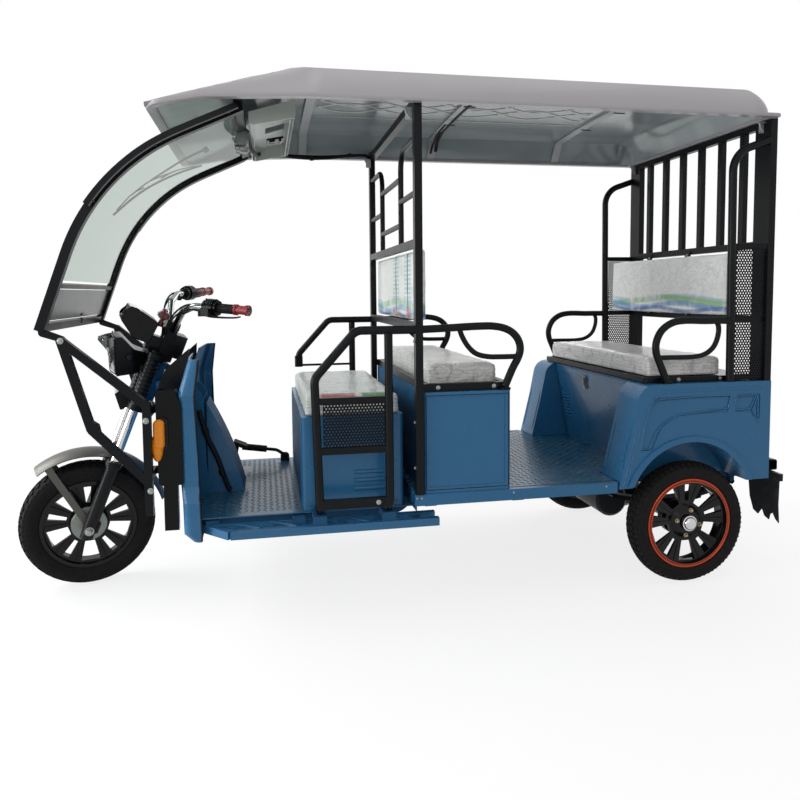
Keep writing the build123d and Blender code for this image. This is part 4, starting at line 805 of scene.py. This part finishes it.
latch = Piece("bulkhead_latch", machine, "plain_steel")
tilt = (Vector((47, 0, 315)).normalized(), Y, Vector((315, 0, -47)).normalized())
for z, size, lift, bevel in ((664, (34, 30, 4), 2.5, 1.5), (694, (16, 36, 4), 2.5, 1.5), (676, (36, 10, 7), 8.0, 2.0),
                             (652, (12, 22, 9), 6.0, 2.0)):
    latch.box((bulkhead_x(z) + lift, -50, z), size, tilt, bevel)
latch.tube([(bulkhead_x(684) + 9, -60, 676), (bulkhead_x(696) + 9, -60, 698), (bulkhead_x(700) + 9, -50, 702),
            (bulkhead_x(696) + 9, -40, 698), (bulkhead_x(684) + 9, -40, 676)], 2.0, 8, 4)
latch.done()

rivets = Piece("small_rivets", machine, "plain_steel")
for z in (573, 588, 604):
    rivets.turned((bulkhead_x(z), 136, z), X, [(0, 3.2), (1.2, 3.0), (2.0, 1.6)], 12)
for side in SIDES:
    for x, z in ((62, 380), (20, 380), (-300, 380), (-640, 380)):
        rivets.turned((x if x < 42 else 36, side * 489, z), Y * side, [(0, 4), (1.2, 3.6), (2.0, 2.0)], 12)
rivets.done()

box_lines = Piece("driver_box_seams", paint, "blue_paint")
for side in SIDES:
    for z in (352, 628):
        bead(box_lines, [(x, side * 395.2, z) for x in (80, 180, 280, 392)], 1.6, 2)
for y in (-365, 365):
    bead(box_lines, [(407.2, y, z) for z in (352, 450, 540, 628)], 1.6, 2, facing=X)
box_lines.done(70)


# fasteners

bolts = Piece("frame_bolts", zinc, "bright_metal")
for side in SIDES:
    for x, z in ((1129, 923), (890, 668), (882, 445)):
        bolts.bolt((x, side * 439.7, z), Y * side, 6.5, 5)
    for x in (-43, -237):
        bolts.bolt((x, side * 466.2, 744), Y * side, 5, 4)
    for x in (-933, -1100):
        bolts.bolt((x, side * 452.2, 741), Y * side, 5, 4)
    for z in (633, 480, 901):
        bolts.bolt((38.2, side * 476, z), X, 4.5, 4)
bolts.bolt((165, 489.2, 377), Y, 5.5, 4.5)
for y in (-300, 0, 300):
    for z in (1208, 962):
        bolts.bolt((-1249.8, y, z), X, 4.5, 4)
for x in (-250, -855, 335):
    for side in SIDES:
        bolts.turned((x, side * 452, 1731), Vector((0, -side * 0.85, -0.5)), [(0, 5), (2.4, 4.4), (3.2, 2.2)], 14)
bolts.done()

brackets = Piece("roof_brackets", stripe_metal, "plain_steel")
for side in SIDES:
    for x in (-1240, 52):
        brackets.box((x - 6, side * 446, 1636), (22, 3, 34))
        brackets.box((x, side * 452, 1655), (34, 16, 3))
        brackets.tube([(x - 12, side * 446, 1622), (x + 2, side * 449, 1640), (x + 8, side * 452, 1654)], 3, 8, 4)
brackets.done()


# wiper, console and roof details

blade = Piece("wiper_blade", black_steel, "black_steel")
edge_ = smooth_path([(1046, 17, 1350), (985, -60, 1425), (925, -124, 1481), (845, -200, 1537), (757, -278, 1585)], 5)
blade.tube(edge_, 3.0, 8, 1, 1.3, (0.6, 0, 0.8))
lift = Vector((0.62, 0, 0.78))
blade.tube([edge_[1] + lift * 5, edge_[5] + lift * 13, edge_[8] + lift * 8], 2.2, 8, 4)
blade.tube([edge_[12] + lift * 8, edge_[15] + lift * 13, edge_[19] + lift * 5], 2.2, 8, 4)
blade.tube([edge_[5] + lift * 12, edge_[10] + lift * 18, edge_[15] + lift * 12], 2.6, 8, 5)
arm_foot = Vector((722, -40, 1604))
blade.tube([edge_[10] + lift * 19, (880, -105, 1529), (800, -80, 1574), arm_foot], lambda t: 2.4 + 2.4 * t, 8, 5)
blade.turned(arm_foot - lift * 12, lift, [(0, 11), (14, 11), (18, 9), (20, 5)], 20)
blade.done(50)

motor = Piece("wiper_motor_cover", machine, "plain_steel")
motor.turned((584, 78, 1584), Vector((0.25, 0, -1)), [(-4, 25), (2, 26), (8, 24), (13, 18), (15, 8)], 28)
motor.box((585, 78, 1608), (46, 72, 30), bevel=5)
motor.box((568, 30, 1628), (10, 60, 44), bevel=3)
motor.tube([(600, 10, 1648), (610, -20, 1632), (606, -46, 1612)], 7, 8, 4, 0.4, Y)
motor.tube([(592, 118, 1640), (578, 96, 1652), (560, 66, 1646)], 6, 8, 4, 0.5, X)
motor.bolt((606, 52, 1600), X, 4, 4)
motor.bolt((606, 100, 1606), X, 4, 4)
motor.turned((590, 26, 1590), X, [(0, 16), (14, 16), (17, 12)], 20)
motor.done()

leads = Piece("roof_leads", trim_rubber, "black_rubber")
leads.tube([(566, 40, 1620), (548, -80, 1606), (530, -240, 1620), (512, -400, 1668), (457, -424, 1666),
            (384, -430, 1655), (298, -432, 1651), (219, -434, 1656), (131, -440, 1668), (60, -450, 1672),
            (40, -466, 1664)], 7.0, 8, 6)
leads.tube([(470, -428, 1668), (420, -436, 1664), (350, -440, 1662), (250, -440, 1662), (120, -446, 1672)], 4.5, 8, 6)
for x, z in ((457, 1666), (298, 1651), (131, 1668)):
    leads.tube([(x - 7, -428, z), (x + 7, -436, z - 1)], 9.5, 10, 1)
leads.tube([(-262, -440, 1700), (-262, -400, 1736), (-262, -300, 1760), (-262, -100, 1767), (-262, 60, 1768),
            (-262, 200, 1764)], 8.0, 8, 6)
leads.tube([(-240, -446, 1690), (-244, -420, 1722), (-246, -330, 1752), (-244, -200, 1762)], 5.0, 8, 6)
for x in (-855, -250):
    for y in (-150, 140):
        leads.tube([(x - 22, y, 1749), (x + 22, y + 2, 1749)], 4.5, 8, 2, 0.5, Z)
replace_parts(leads.done(50), "roof_wiring")

switch = Piece("console_switch", black_plastic, "black_plastic")
slope = (Vector((152, 0, -30)).normalized(), Y, Vector((30, 0, 152)).normalized())
for x, y, z, size in ((465, 0, 1629, (64, 84, 8)), (476, -14, 1624, (22, 26, 12)), (476, 16, 1624, (22, 26, 12)),
                      (446, 0, 1626, (10, 60, 8))):
    switch.box((x, y, z + 3), size, slope, 2.0)
switch.done()
lines = Piece("console_seams", stripe_metal, "liner_white")
for x, z in ((420, 1637), (540, 1613)):
    lines.tube([(x, y, z - 0.5) for y in (-318, -100, 100, 318)], 2.0, 6, 2, 0.6, Z)
for y, x in ((-300, 480), (300, 480), (-300, 430), (300, 430)):
    lines.turned((x, y, 1625 + (480 - x) * 0.19), -Z, [(0, 5), (2, 4.4), (3, 2)], 12)
lines.done(50)

knob = Piece("lower_panel_knob", black_plastic, "black_plastic")
knob.turned((1182, -60, 968), Vector((0.94, 0, 0.34)), [(-4, 9), (8, 9), (12, 7), (13, 3)], 20)
knob.box((1178, -60, 992), (8, 40, 8), bevel=2.0)
knob.done()

gasket = Piece("screen_gasket", trim_rubber, "black_rubber")
SCREEN_LINE, SCREEN_BEND = [(1195, 953), (1018, 1448), (575, 1649)], 650


def screen_line(count, start, end):
    """Points along the middle line of the screen, as (x, z)."""
    a, b, d = (Vector(p) for p in SCREEN_LINE)
    u, w = (a - b).normalized(), (d - b).normalized()
    half = u.angle(w) / 2
    reach_ = SCREEN_BEND / math.tan(half)
    s, e = b + u * reach_, b + w * reach_
    middle = b + (u + w).normalized() * (SCREEN_BEND / math.sin(half))
    first, last = math.atan2(s.y - middle.y, s.x - middle.x), math.atan2(e.y - middle.y, e.x - middle.x)
    bend = SCREEN_BEND * abs(last - first)
    parts = ((a - s).length, bend, (d - e).length)
    whole = sum(parts)
    found = []
    for i in range(count + 1):
        run = (start + (end - start) * i / count) * whole
        if run < parts[0]:
            p = a + (s - a) * (run / parts[0])
        elif run < parts[0] + bend:
            t = first + (last - first) * (run - parts[0]) / bend
            p = middle + Vector((math.cos(t), math.sin(t))) * SCREEN_BEND
        else:
            p = e + (d - e) * ((run - parts[0] - bend) / parts[2])
        found.append(p)
    return found


for side in SIDES:
    gasket.tube([(p.x, side * 391.5, p.y) for p in screen_line(24, 0.165, 0.97)], 4.0, 6, 1, 0.9)
    gasket.tube([(p.x, side * 391.5, p.y) for p in screen_line(3, 0.03, 0.14)], 4.0, 6, 1, 0.9)
gasket.done(60)


# hand rails, lamps, pressed lines and steps

REAR_ARM = [(-1122, 951), (-1060, 952), (-1013, 952), (-938, 954), (-888, 946), (-849, 920), (-829, 881), (-829, 842),
            (-846, 798), (-872, 739)]
REAR_LOOP = [(-1062, 950), (-1071, 928), (-1068, 893), (-1051, 856), (-1016, 832), (-966, 824), (-891, 824),
             (-834, 824)]
MID_ARM = [(13, 940), (-75, 943), (-171, 947), (-236, 946), (-284, 933), (-314, 907), (-326, 873), (-319, 840),
           (-299, 803), (-272, 742)]
MID_LOOP = [(-112, 944), (-124, 912), (-144, 880), (-171, 856), (-210, 845), (-259, 843), (-322, 843)]
for tag, hoop, loop, foot_x, node in (("rear", REAR_ARM, REAR_LOOP, -872, "rear_armrests"),
                                      ("mid", MID_ARM, MID_LOOP, -272, "mid_armrests")):
    rails = Piece(f"arm_rails_{tag}", black_steel, "black_steel")
    for side in SIDES:
        rails.tube([(x, side * 476, z) for x, z in hoop], 13, 14, 5, facing=Y)
        rails.tube([(x, side * 476, z) for x, z in loop], 9, 12, 5, facing=Y)
        rails.box((foot_x, side * 475, 736), (34, 27, 9), bevel=1.5)
    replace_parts(rails.done(60), node)

for side in SIDES:
    lens = Piece(f"indicator_lens_{'left' if side > 0 else 'right'}", amber, "lamp_amber")
    rings = []
    for k in range(9):
        t = k / 8 * math.pi / 2
        wide, tall = (shape_ * math.cos(t) ** 0.6 if k < 8 else 0.4 for shape_ in (19, 47))
        rings.append(lens.ring([Vector((862, side * 413, 578)) + Vector((math.cos(a) * wide, side * 15 * math.sin(t),
                                                                        math.sin(a) * tall)) for a in circle(36)]))
    lens.skin(rings)
    lens.done(60)

pressed = Piece("pressed_lines", paint, "blue_paint")
# Dark lines: real panel gaps round the seat side panel and along the floor edge, and painted shadow under each pressed
# bead
gaps_and_bead_shadows = Piece("panel_gaps_and_bead_shadows", trim_rubber, "blue_paint")
PRESS = [[(-770, 503), (-801, 505), (-822, 556), (-856, 593), (-911, 620), (-999, 627), (-1107, 637), (-1119, 683),
          (-1010, 684), (-840, 678), (-800, 658), (-783, 591), (-770, 503)],
         [(-1135, 629), (-1197, 632), (-1221, 682), (-1139, 678), (-1135, 629)],
         [(-1206, 625), (-1229, 583), (-1228, 680), (-1206, 625)]]
for side in SIDES:
    for loop in PRESS:
        corners = []
        for (x0, z0), (x1, z1) in zip(loop, loop[1:]):
            corners += [(x0 + (x1 - x0) * t, z0 + (z1 - z0) * t) for t in (0.0, 0.15, 0.5, 0.85)]
        corners.append(loop[-1])
        pressed.tube([(x, side * 489.1, z) for x, z in corners], 2.6, 6, 2, 0.7, Y)
        # painted shadow: a dark line along the lower edge of each pressed bead
        gaps_and_bead_shadows.tube([(x, side * 489.2, z - 3.0) for x, z in corners], 1.0, 6, 1, 0.6, Y)
    frame_line = [(-283, 404), (-283, 720), (2, 720), (2, 404), (-283, 404)]
    for (x0, z0), (x1, z1) in zip(frame_line, frame_line[1:]):
        gaps_and_bead_shadows.tube([(x0, side * 483.2, z0), (x1, side * 483.2, z1)], 1.3, 6, 1, 0.5, Y)
    gaps_and_bead_shadows.tube([(-700, side * 463.5, 392), (30, side * 463.5, 392)], 1.2, 6, 1, 0.5, Y)
pressed.done(70)
gaps_and_bead_shadows.done(70)

treads = Piece("step_treads", paint, "blue_paint")
for side in SIDES:
    for x0, x1 in ((620, 548), (505, 430), (385, 310), (265, 190), (150, 75)):
        treads.tube([(x0, side * 409, 311.5), ((x0 + x1) / 2, side * 434, 309.5), (x1, side * 460, 307.5)], 9, 8, 2,
                    0.28, Z)
    treads.tube([(x, side * 409, 311.5) for x in (700, 330, -40)], 6, 8, 1, 0.35, Z)
treads.done(50)


def ceiling_z(y):
    return 1756.8 + 16 * (1 - (y / 440) ** 2)


ceiling = Piece("ceiling_lattice", console_white, "liner_white")
for phase in (0.0, math.pi):
    for middle_y in (-40, 60):
        line = []
        for i in range(89):
            x = 300 - i * 12.5
            y = middle_y + 62 * math.sin((x - 300) / 78 + phase)
            line.append((x, y, ceiling_z(y)))
        ceiling.tube(line, 7.0, 6, 1, 0.22, Z)
for y in (-170, 190):
    ceiling.tube([(300 - i * 55, y, ceiling_z(y)) for i in range(21)], 5.0, 6, 1, 0.25, Z)
ceiling.done(50)


# roof

RIM = [(855, 1614), (692, 1646), (368, 1661), (12, 1662), (-1272, 1662)]
STATIONS = [-1000, -800, -600, -400, -200, 0, 100, 200, 280, 320, 345, 357, 380, 420, 480, 540, 600, 650, 700,
            750, 790, 820, 840, 855]
LEVELS = [0.04, 0.1, 0.18, 0.28, 0.4, 0.52, 0.64, 0.76, 0.86, 0.94, 1.0]
ROOF_TOP, CROWN, REAR_X, SIDE_Y = 1768, 16, -1170.0, 450.0
REAR_REACH, SIDE_REACH, CORNER_STEPS = 90, 57, 8


def rim_height(x):
    """The height of the rim flange's underside along the roof."""
    for (x0, z0), (x1, z1) in zip(RIM, RIM[1:]):
        if x >= x1:
            return z0 + (z1 - z0) * (x0 - x) / (x0 - x1)
    return 1662.0


def slope_top(x, wall):
    return 1628 + (855 - x) * 156 / 504 - wall


def roof_side(x, w, side, wall):
    """A point on the side wall at a level from 0 at the top to 1 at the rim."""
    foot_z = rim_height(x) + (6 if wall else 13)
    z = min(ROOF_TOP - wall - (ROOF_TOP - wall - foot_z) * w, slope_top(x, wall)) if w < 1 else foot_z
    bulge = 5.0 * math.sin(math.pi * w) if x < 351 else 0.0
    return Vector((x, side * (SIDE_Y - wall + SIDE_REACH * w + bulge), z))


def roof_rear(y, w, wall):
    z = ROOF_TOP - wall + (CROWN * (1 - (y / SIDE_Y) ** 2)) * (1 - w) ** 1.5
    drop = 1 - math.sqrt(max(0.0, 1 - w ** 2))
    return Vector((REAR_X + wall - REAR_REACH * w, y, z - (z - 1675 + (7 if wall else 0)) * drop))


def roof_skin_faces(piece, wall):
    """One skin of the roof, outer or inner, with its open edge at the rim. Returns that edge."""
    half = SIDE_Y - wall
    ys = [half * (-1 + i / 8) for i in range(17)]
    stations = [REAR_X + wall] + [x - wall * 0.3 if x < 855 else 855 for x in STATIONS]
    grid = [piece.ring([Vector((x, y, min(ROOF_TOP - wall + CROWN * (1 - (y / half) ** 2), slope_top(x, wall))))
                        for y in ys]) for x in stations]
    piece.strips(grid)
    edges, corners = {}, {}
    for side, column in ((1, 16), (-1, 0)):
        edges[side] = [[g[column] for g in grid]]
        edges[side] += [piece.ring([roof_side(x, w, side, wall) for x in stations]) for w in LEVELS]
        piece.strips(edges[side])
    rear = [grid[0]] + [piece.ring([roof_rear(y, w, wall) for y in ys]) for w in LEVELS]
    piece.strips(rear)
    for side, column in ((1, 16), (-1, 0)):
        fans = [[grid[0][column]] * (CORNER_STEPS + 1)]
        for level_, w in enumerate(LEVELS, 1):
            start, end = edges[side][level_][0], rear[level_][column]
            row = []
            for i in range(1, CORNER_STEPS):
                t = i / CORNER_STEPS * math.pi / 2
                row.append((stations[0] - REAR_REACH * w * math.sin(t),
                            side * (half + (abs(start.co.y) - half) * math.cos(t)),
                            start.co.z + (end.co.z - start.co.z) * (i / CORNER_STEPS)))
            fans.append([start] + piece.ring(row) + [end])
        piece.faces((fans[0][0], fans[1][i], fans[1][i + 1]) for i in range(CORNER_STEPS))
        piece.strips(fans[1:])
        corners[side] = fans[-1]
    loop = edges[-1][-1][::-1] + corners[-1][1:] + rear[-1][1:-1] + corners[1][:0:-1]
    loop += edges[1][-1] + [r[-1] for r in edges[1][-2:0:-1]] + grid[-1][::-1]
    return loop + [r[-1] for r in edges[-1][1:-1]]


roof = Piece("roof_moulding", roof_skin, "roof_skin")
outer_edge = roof_skin_faces(roof, 0)
first_inner = len(roof.bm.faces)
inner_edge = roof_skin_faces(roof, 10)
roof.bm.faces.ensure_lookup_table()
for face in roof.bm.faces[first_inner:]:
    face.material_index = 1
for k in range(len(outer_edge)):
    j = (k + 1) % len(outer_edge)
    roof.bm.faces.new((outer_edge[k], outer_edge[j], inner_edge[j], inner_edge[k]))
made_roof = roof.done(28)
made_roof.data.materials.append(roof_lining)
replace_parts(made_roof, "roof_shell")


def flange_loop(inset, lift_, corner):
    x_front, x_rear, half = 855 - inset, -1272 + inset, 519 - inset
    along = [-1100, -700, -300, 12, 200, 368, 530, 692, x_front - corner]
    bends = [[(r * math.sin(a), r * math.cos(a)) for a in (i / n * math.pi / 2 for i in range(first, n + 1))]
             for r, n, first in ((corner, 8, 1), (14, 4, 0))]
    line = [(x, half) for x in along]
    line += [(x_front - corner + u, half - corner + w) for u, w in bends[0]]
    line += [(x_front, half * t) for t in (0.5, 0.0, -0.5)]
    line += [(x_front - corner + u, -half + corner - w) for u, w in bends[0][::-1]]
    line += [(x, -half) for x in along[::-1]]
    line += [(x_rear + 14 - u, -half + 14 - w) for u, w in bends[1]]
    line += [(x_rear, -half * 0.5), (x_rear, 0), (x_rear, half * 0.5)]
    line += [(x_rear + 14 - u, half - 14 + w) for u, w in bends[1][::-1]]
    return [Vector((x, y, rim_height(x) + lift_)) for x, y in line]


flange = Piece("roof_flange", roof_skin, "roof_skin")
FLANGE = [(1.5, 0.2), (0.2, 2.0), (0.2, 9.0), (2.0, 12.2), (8.0, 13.0), (29.0, 12.8), (29.8, 11.0), (29.8, 1.5),
          (28.5, 0.2), (16.0, 0.2)]
flange.skin([flange.ring(flange_loop(inset, lift_, 52 - inset * 0.6)) for inset, lift_ in FLANGE], closed=True)
flange.done(40)


# steering details

cables = Piece("control_cables", trim_rubber, "black_rubber", "steering")
for side in SIDES:
    for off, drop in ((14, -4), (10, 12)):
        path = [(772 + off, side * 258, 1030 + drop), (814 + off, side * 226, 1034 + drop),
                (846 + off, side * 172, 1008 + drop), (866 + off, side * 96, 962 + drop), (884, side * 46, 926 + drop),
                (890, side * 20, 900)]
        cables.tube(path, 3.4, 8, 5)
cables.done(50)

levers = Piece("brake_levers", black_plastic, "black_plastic", "steering")
for side in SIDES:
    levers.tube([(790, side * 288, 1024), (772, side * 322, 1016), (738, side * 352, 1014), (700, side * 388, 1016),
                 (684, side * 402, 1020)], lambda t: 7 - 2.5 * t, 10, 5, 0.6, Z)
    levers.turned((793, side * 284, 1012), Z, [(0, 9), (20, 9), (22, 6)], 16)
    for k in range(3):
        levers.box((770 - 8 * k, side * (272 + 8 * k), 1068), (7, 10, 6), bevel=1.5)
levers.done()

collars = Piece("fork_rings", black_plastic, "black_steel", "steering")
for side in SIDES:
    foot = base + Y * side * 76
    for k in range(11):
        at = foot + UP * (490 + 15 * k)
        collars.turned(at, UP, [(-3.5, 24.2), (-1.5, 25.6), (1.5, 25.6), (3.5, 24.2)], 28)
    for high_ in (245, 252):
        collars.turned(foot + UP * high_, UP, [(-2, 27.2), (0, 28.6), (2, 27.2)], 28)
    collars.turned(foot + UP * 674, UP, [(0, 15), (8, 15), (10, 12)], 6)
    collars.box(foot + UP * 12 + FORWARD * -24, (14, 26, 44), (FORWARD, Y, UP), 4)
collars.done()

yoke_top = Piece("steering_details", machine, "black_steel", "steering")
stem = base - FORWARD * 35
yoke_top.turned(stem + UP * 673, UP, [(0, 19), (8, 19), (10, 16)], 6)
for y in (-34, 34):
    for off in (-16, 18):
        yoke_top.turned(stem + FORWARD * (4 + off) + Y * y + UP * 797, UP, [(0, 5.5), (6, 5.5), (7, 4.5)], 16)
yoke_top.done()

horn = Piece("red_switch_box", red_plastic, "black_plastic", "steering")
horn.box((884, -8, 985), (40, 46, 26), (FORWARD, Y, UP), 6)
horn.box((878, -8, 1002), (20, 26, 14), (FORWARD, Y, UP), 5)
horn.tube([(884, -8, 976), (894, -6, 960), (900, -4, 944)], 9, 10, 3)
horn.done()

bezel = Piece("instrument_bezel", black_plastic, "black_plastic", "steering")
pod_axis = Vector((0.62, 0, 0.78)).normalized()
dial = Vector((1018.5, 0, 1008))
across_dial = pod_axis.cross(Y)
rim_ring = []
for a in circle(48):
    c_ = Vector((math.cos(a), math.sin(a)))
    rim_ring.append(bezel.ring([dial + Y * (c_.x * (r + 20)) + across_dial * (c_.y * r * 0.55) + pod_axis * h
                                for r, h in ((34, -4), (34, 4), (30, 5), (28, 1), (28, -4))]))
bezel.skin(rim_ring, closed=True)
bezel.done()

bowl = Piece("headlamp_bowl", lamp_bowl, "bright_metal", "steering")
for y in (-32, 32):
    bowl.turned((1060, y, 850), X, [(0, 8), (3, 20), (8, 27), (14, 31), (15, 31.5), (14, 30)], 32)
    bowl.turned((1062, y, 850), X, [(0, 6), (12, 6), (16, 4)], 14)
bowl.done()
rim_lamp = Piece("headlamp_frame", black_plastic, "black_plastic", "steering")
for z0, z1 in ((922, 852), (848, 782)):
    rim_lamp.tube([(1058, -70, z0), (1060, 0, z0 + 2), (1058, 70, z0)], 4, 8, 4)
for side in SIDES:
    rim_lamp.tube([(1058, side * 73, 915), (1059, side * 74, 850), (1058, side * 73, 788)], 4, 8, 3)
    rim_lamp.turned((1010, side * 70, 852), Y * side, [(0, 12), (18, 10), (21, 6)], 18)
rim_lamp.done()


# rear details

tail = Piece("tail_lamp_ribs", red_lens, "lamp_red")
for side in SIDES:
    for k in range(6):
        tail.tube([(-1302.2, side * 396, 556 + 18 * k), (-1303, side * 419, 556 + 18 * k),
                   (-1302.2, side * 442, 556 + 18 * k)], 2.6, 8, 3)
tail.done(60)
flap_bolts = Piece("flap_fixings", zinc, "bright_metal")
for side in SIDES:
    for y in (320, 388, 456):
        flap_bolts.bolt((-1339.2, side * y, 364), -X, 5, 4)
flap_bolts.done()


# cushions and backrests

def slab(name, low, high, corner, step):
    """A block with rounded upright corners and edges, divided finely enough to be shaped."""
    bm = bmesh.new()
    bmesh.ops.create_cube(bm, size=1.0)
    size = [high[i] - low[i] for i in range(3)]
    middle = Vector([(high[i] + low[i]) / 2 for i in range(3)])
    for v in bm.verts:
        v.co = Vector((v.co.x * size[0], v.co.y * size[1], v.co.z * size[2])) + middle
    bmesh.ops.bevel(bm, geom=list(bm.edges), offset=corner, segments=4, affect="EDGES", profile=0.5)
    for v in bm.verts:
        v.co = v.co / 1000
    mesh = bpy.data.meshes.new(name)
    bm.to_mesh(mesh)
    bm.free()
    made = bpy.data.objects.new(name, mesh)
    scene.collection.objects.link(made)
    remesh = made.modifiers.new("even", "REMESH")
    remesh.mode = "VOXEL"
    remesh.voxel_size = step / 1000
    apply_modifiers(made)
    return made


def apply_modifiers(made):
    bpy.context.view_layer.update()
    graph = bpy.context.evaluated_depsgraph_get()
    finished = bpy.data.meshes.new_from_object(made.evaluated_get(graph), depsgraph=graph)
    old = made.data
    made.modifiers.clear()
    made.data = finished
    bpy.data.meshes.remove(old)


def divide(made):
    finer = made.modifiers.new("finer", "SUBSURF")
    finer.levels = finer.render_levels = 1
    apply_modifiers(made)


def inflate(made, cap, still):
    """Swells the block like cloth over foam. No point moves past cap, and still ones don't move."""
    before = [v.co.copy() for v in made.data.vertices]
    cloth = made.modifiers.new("cloth", "CLOTH")
    for key, value in (("use_pressure", True), ("uniform_pressure_force", 4.0), ("quality", 4),
                       ("tension_stiffness", 12), ("bending_stiffness", 0.6)):
        setattr(cloth.settings, key, value)
    cloth.settings.effector_weights.gravity = 0
    cloth.collision_settings.use_collision = False
    cloth.point_cache.frame_start, cloth.point_cache.frame_end = 1, 20
    for number in range(1, 21):
        scene.frame_set(number)
    apply_modifiers(made)
    scene.frame_set(1)
    for v, start in zip(made.data.vertices, before):
        move = v.co - start
        if move.length > cap:
            move = move * (cap / move.length)
        v.co = start + move * still(start)


def crease(made, amount, size, seed, stretch, keep):
    """Small sharp folds in the cover, as it is drawn tight round its foam."""
    normals = [v.normal.copy() for v in made.data.vertices]
    for v, normal in zip(made.data.vertices, normals):
        p = Vector((v.co.x * stretch[0], v.co.y * stretch[1], v.co.z * stretch[2])) * size + Vector((seed, 0, 0))
        fold = 1 - abs(noise.noise(p + noise.noise_vector(p * 0.5) * 1.2)) * 3.2
        fine = noise.noise(p * 3.1) * 0.35
        v.co += normal * (amount * (max(0.0, fold) ** 2 - 0.35 + fine)) * keep(v.co)


def cover(made, material, body):
    made.data.shade_smooth()
    made.data.materials.clear()
    made.data.materials.append(material)
    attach(made, body)


def cushion(name, node, body, material, low, high, seam_at, seed):
    """A bench's cushion between two corners, with a seam across it at each place along y."""
    inset = 5.0
    made = slab(name, (low[0] + inset, low[1] + inset, low[2] + 0.5),
                (high[0] - inset, high[1] - inset, high[2] - 6.0), 11.0, 7.0)
    foot, head = low[2] / 1000, high[2] / 1000
    still = lambda p: max(0.0, min(1.0, (p.z - foot - 0.004) / 0.012))
    inflate(made, 0.0055, still)
    divide(made)
    crease(made, 0.0016, 11.0, seed, (1.0, 0.55, 1.7), still)
    for v in made.data.vertices:
        for at in seam_at:
            gap = abs(v.co.y - at / 1000)
            if gap < 0.006:
                v.co -= v.normal * 0.0016 * (1 - gap / 0.006) * still(v.co)
        rim = abs(v.co.z - (foot + 0.8 * (head - foot)))
        if rim < 0.004 and abs(v.normal.z) < 0.5:
            v.co -= v.normal * 0.0012 * (1 - rim / 0.004)
    for v in made.data.vertices:
        v.co.z = min(head - 0.0002, max(foot + 0.0003, v.co.z))
    cover(made, material, body)
    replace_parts(made, node)


cushion("front_bench_cushion", "front_cushion", "root", seat_cover, (-266, -438, 731), (-14, 438, 822), (0,), 3.1)
cushion("driver_bench_cushion", "driver_cushion", "root", driver_cover, (66, -388, 650), (400, 388, 722), (), 8.4)
cushion("rear_bench_cushion", "rear_cushion", "seat_lid", seat_cover, (-1120, -440, 751.3), (-816, 440, 824), (0,),
        15.7)


def backrest(name, material, base_x, thick, half, z, slope_x, seed):
    """A thin padded board with crowned faces and tucked edges."""
    made = slab(name, (base_x - thick / 2 + 2.5, -half + 3, z[0] + 3), (base_x + thick / 2 - 2.5, half - 3, z[1] - 3),
                8.0, 5.5)
    mid_z, half_z = (z[0] + z[1]) / 2000, (z[1] - z[0]) / 2000
    for v in made.data.vertices:
        u, w = abs(v.co.y) / (half / 1000), abs(v.co.z - mid_z) / half_z
        push = 0.0022 * max(0.0, (1 - u ** 8) * (1 - w ** 4))
        v.co.x += push if v.co.x > base_x / 1000 else -push
        v.co.z -= 0.004 * (1 - math.cos(v.co.y * math.pi / (half / 1000) / 2)) * (1 if v.co.z > mid_z else -1) * 0.3
    divide(made)
    crease(made, 0.0009, 9.0, seed, (1.0, 1.4, 0.7), lambda p: 1.0)
    for v in made.data.vertices:
        v.co.x += slope_x * (v.co.z - mid_z)
    cover(made, material, "root")
    return made


front_pad = backrest("front_backrest_pad", front_back_cover, 0, 26, 440, (962.5, 1207.5), 0.0, 21.0)
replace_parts(front_pad, "backrests")
backrest("rear_backrest_pad", rear_back_cover, -1140, 24, 430, (965, 1197), -4.0 / 232, 33.0)
holders = Piece("backrest_brackets", black_steel, "black_steel")
for y in (-300, 0, 300):
    for x, z, size in ((-1202, 1189, (104, 40, 6)), (-1252, 1205, (4, 40, 38)), (-1202, 979, (108, 40, 6)),
                       (-1252, 963, (4, 40, 26))):
        holders.box((x, y, z), size)
holders.done()


scene.frame_set(1)
bpy.context.view_layer.update()
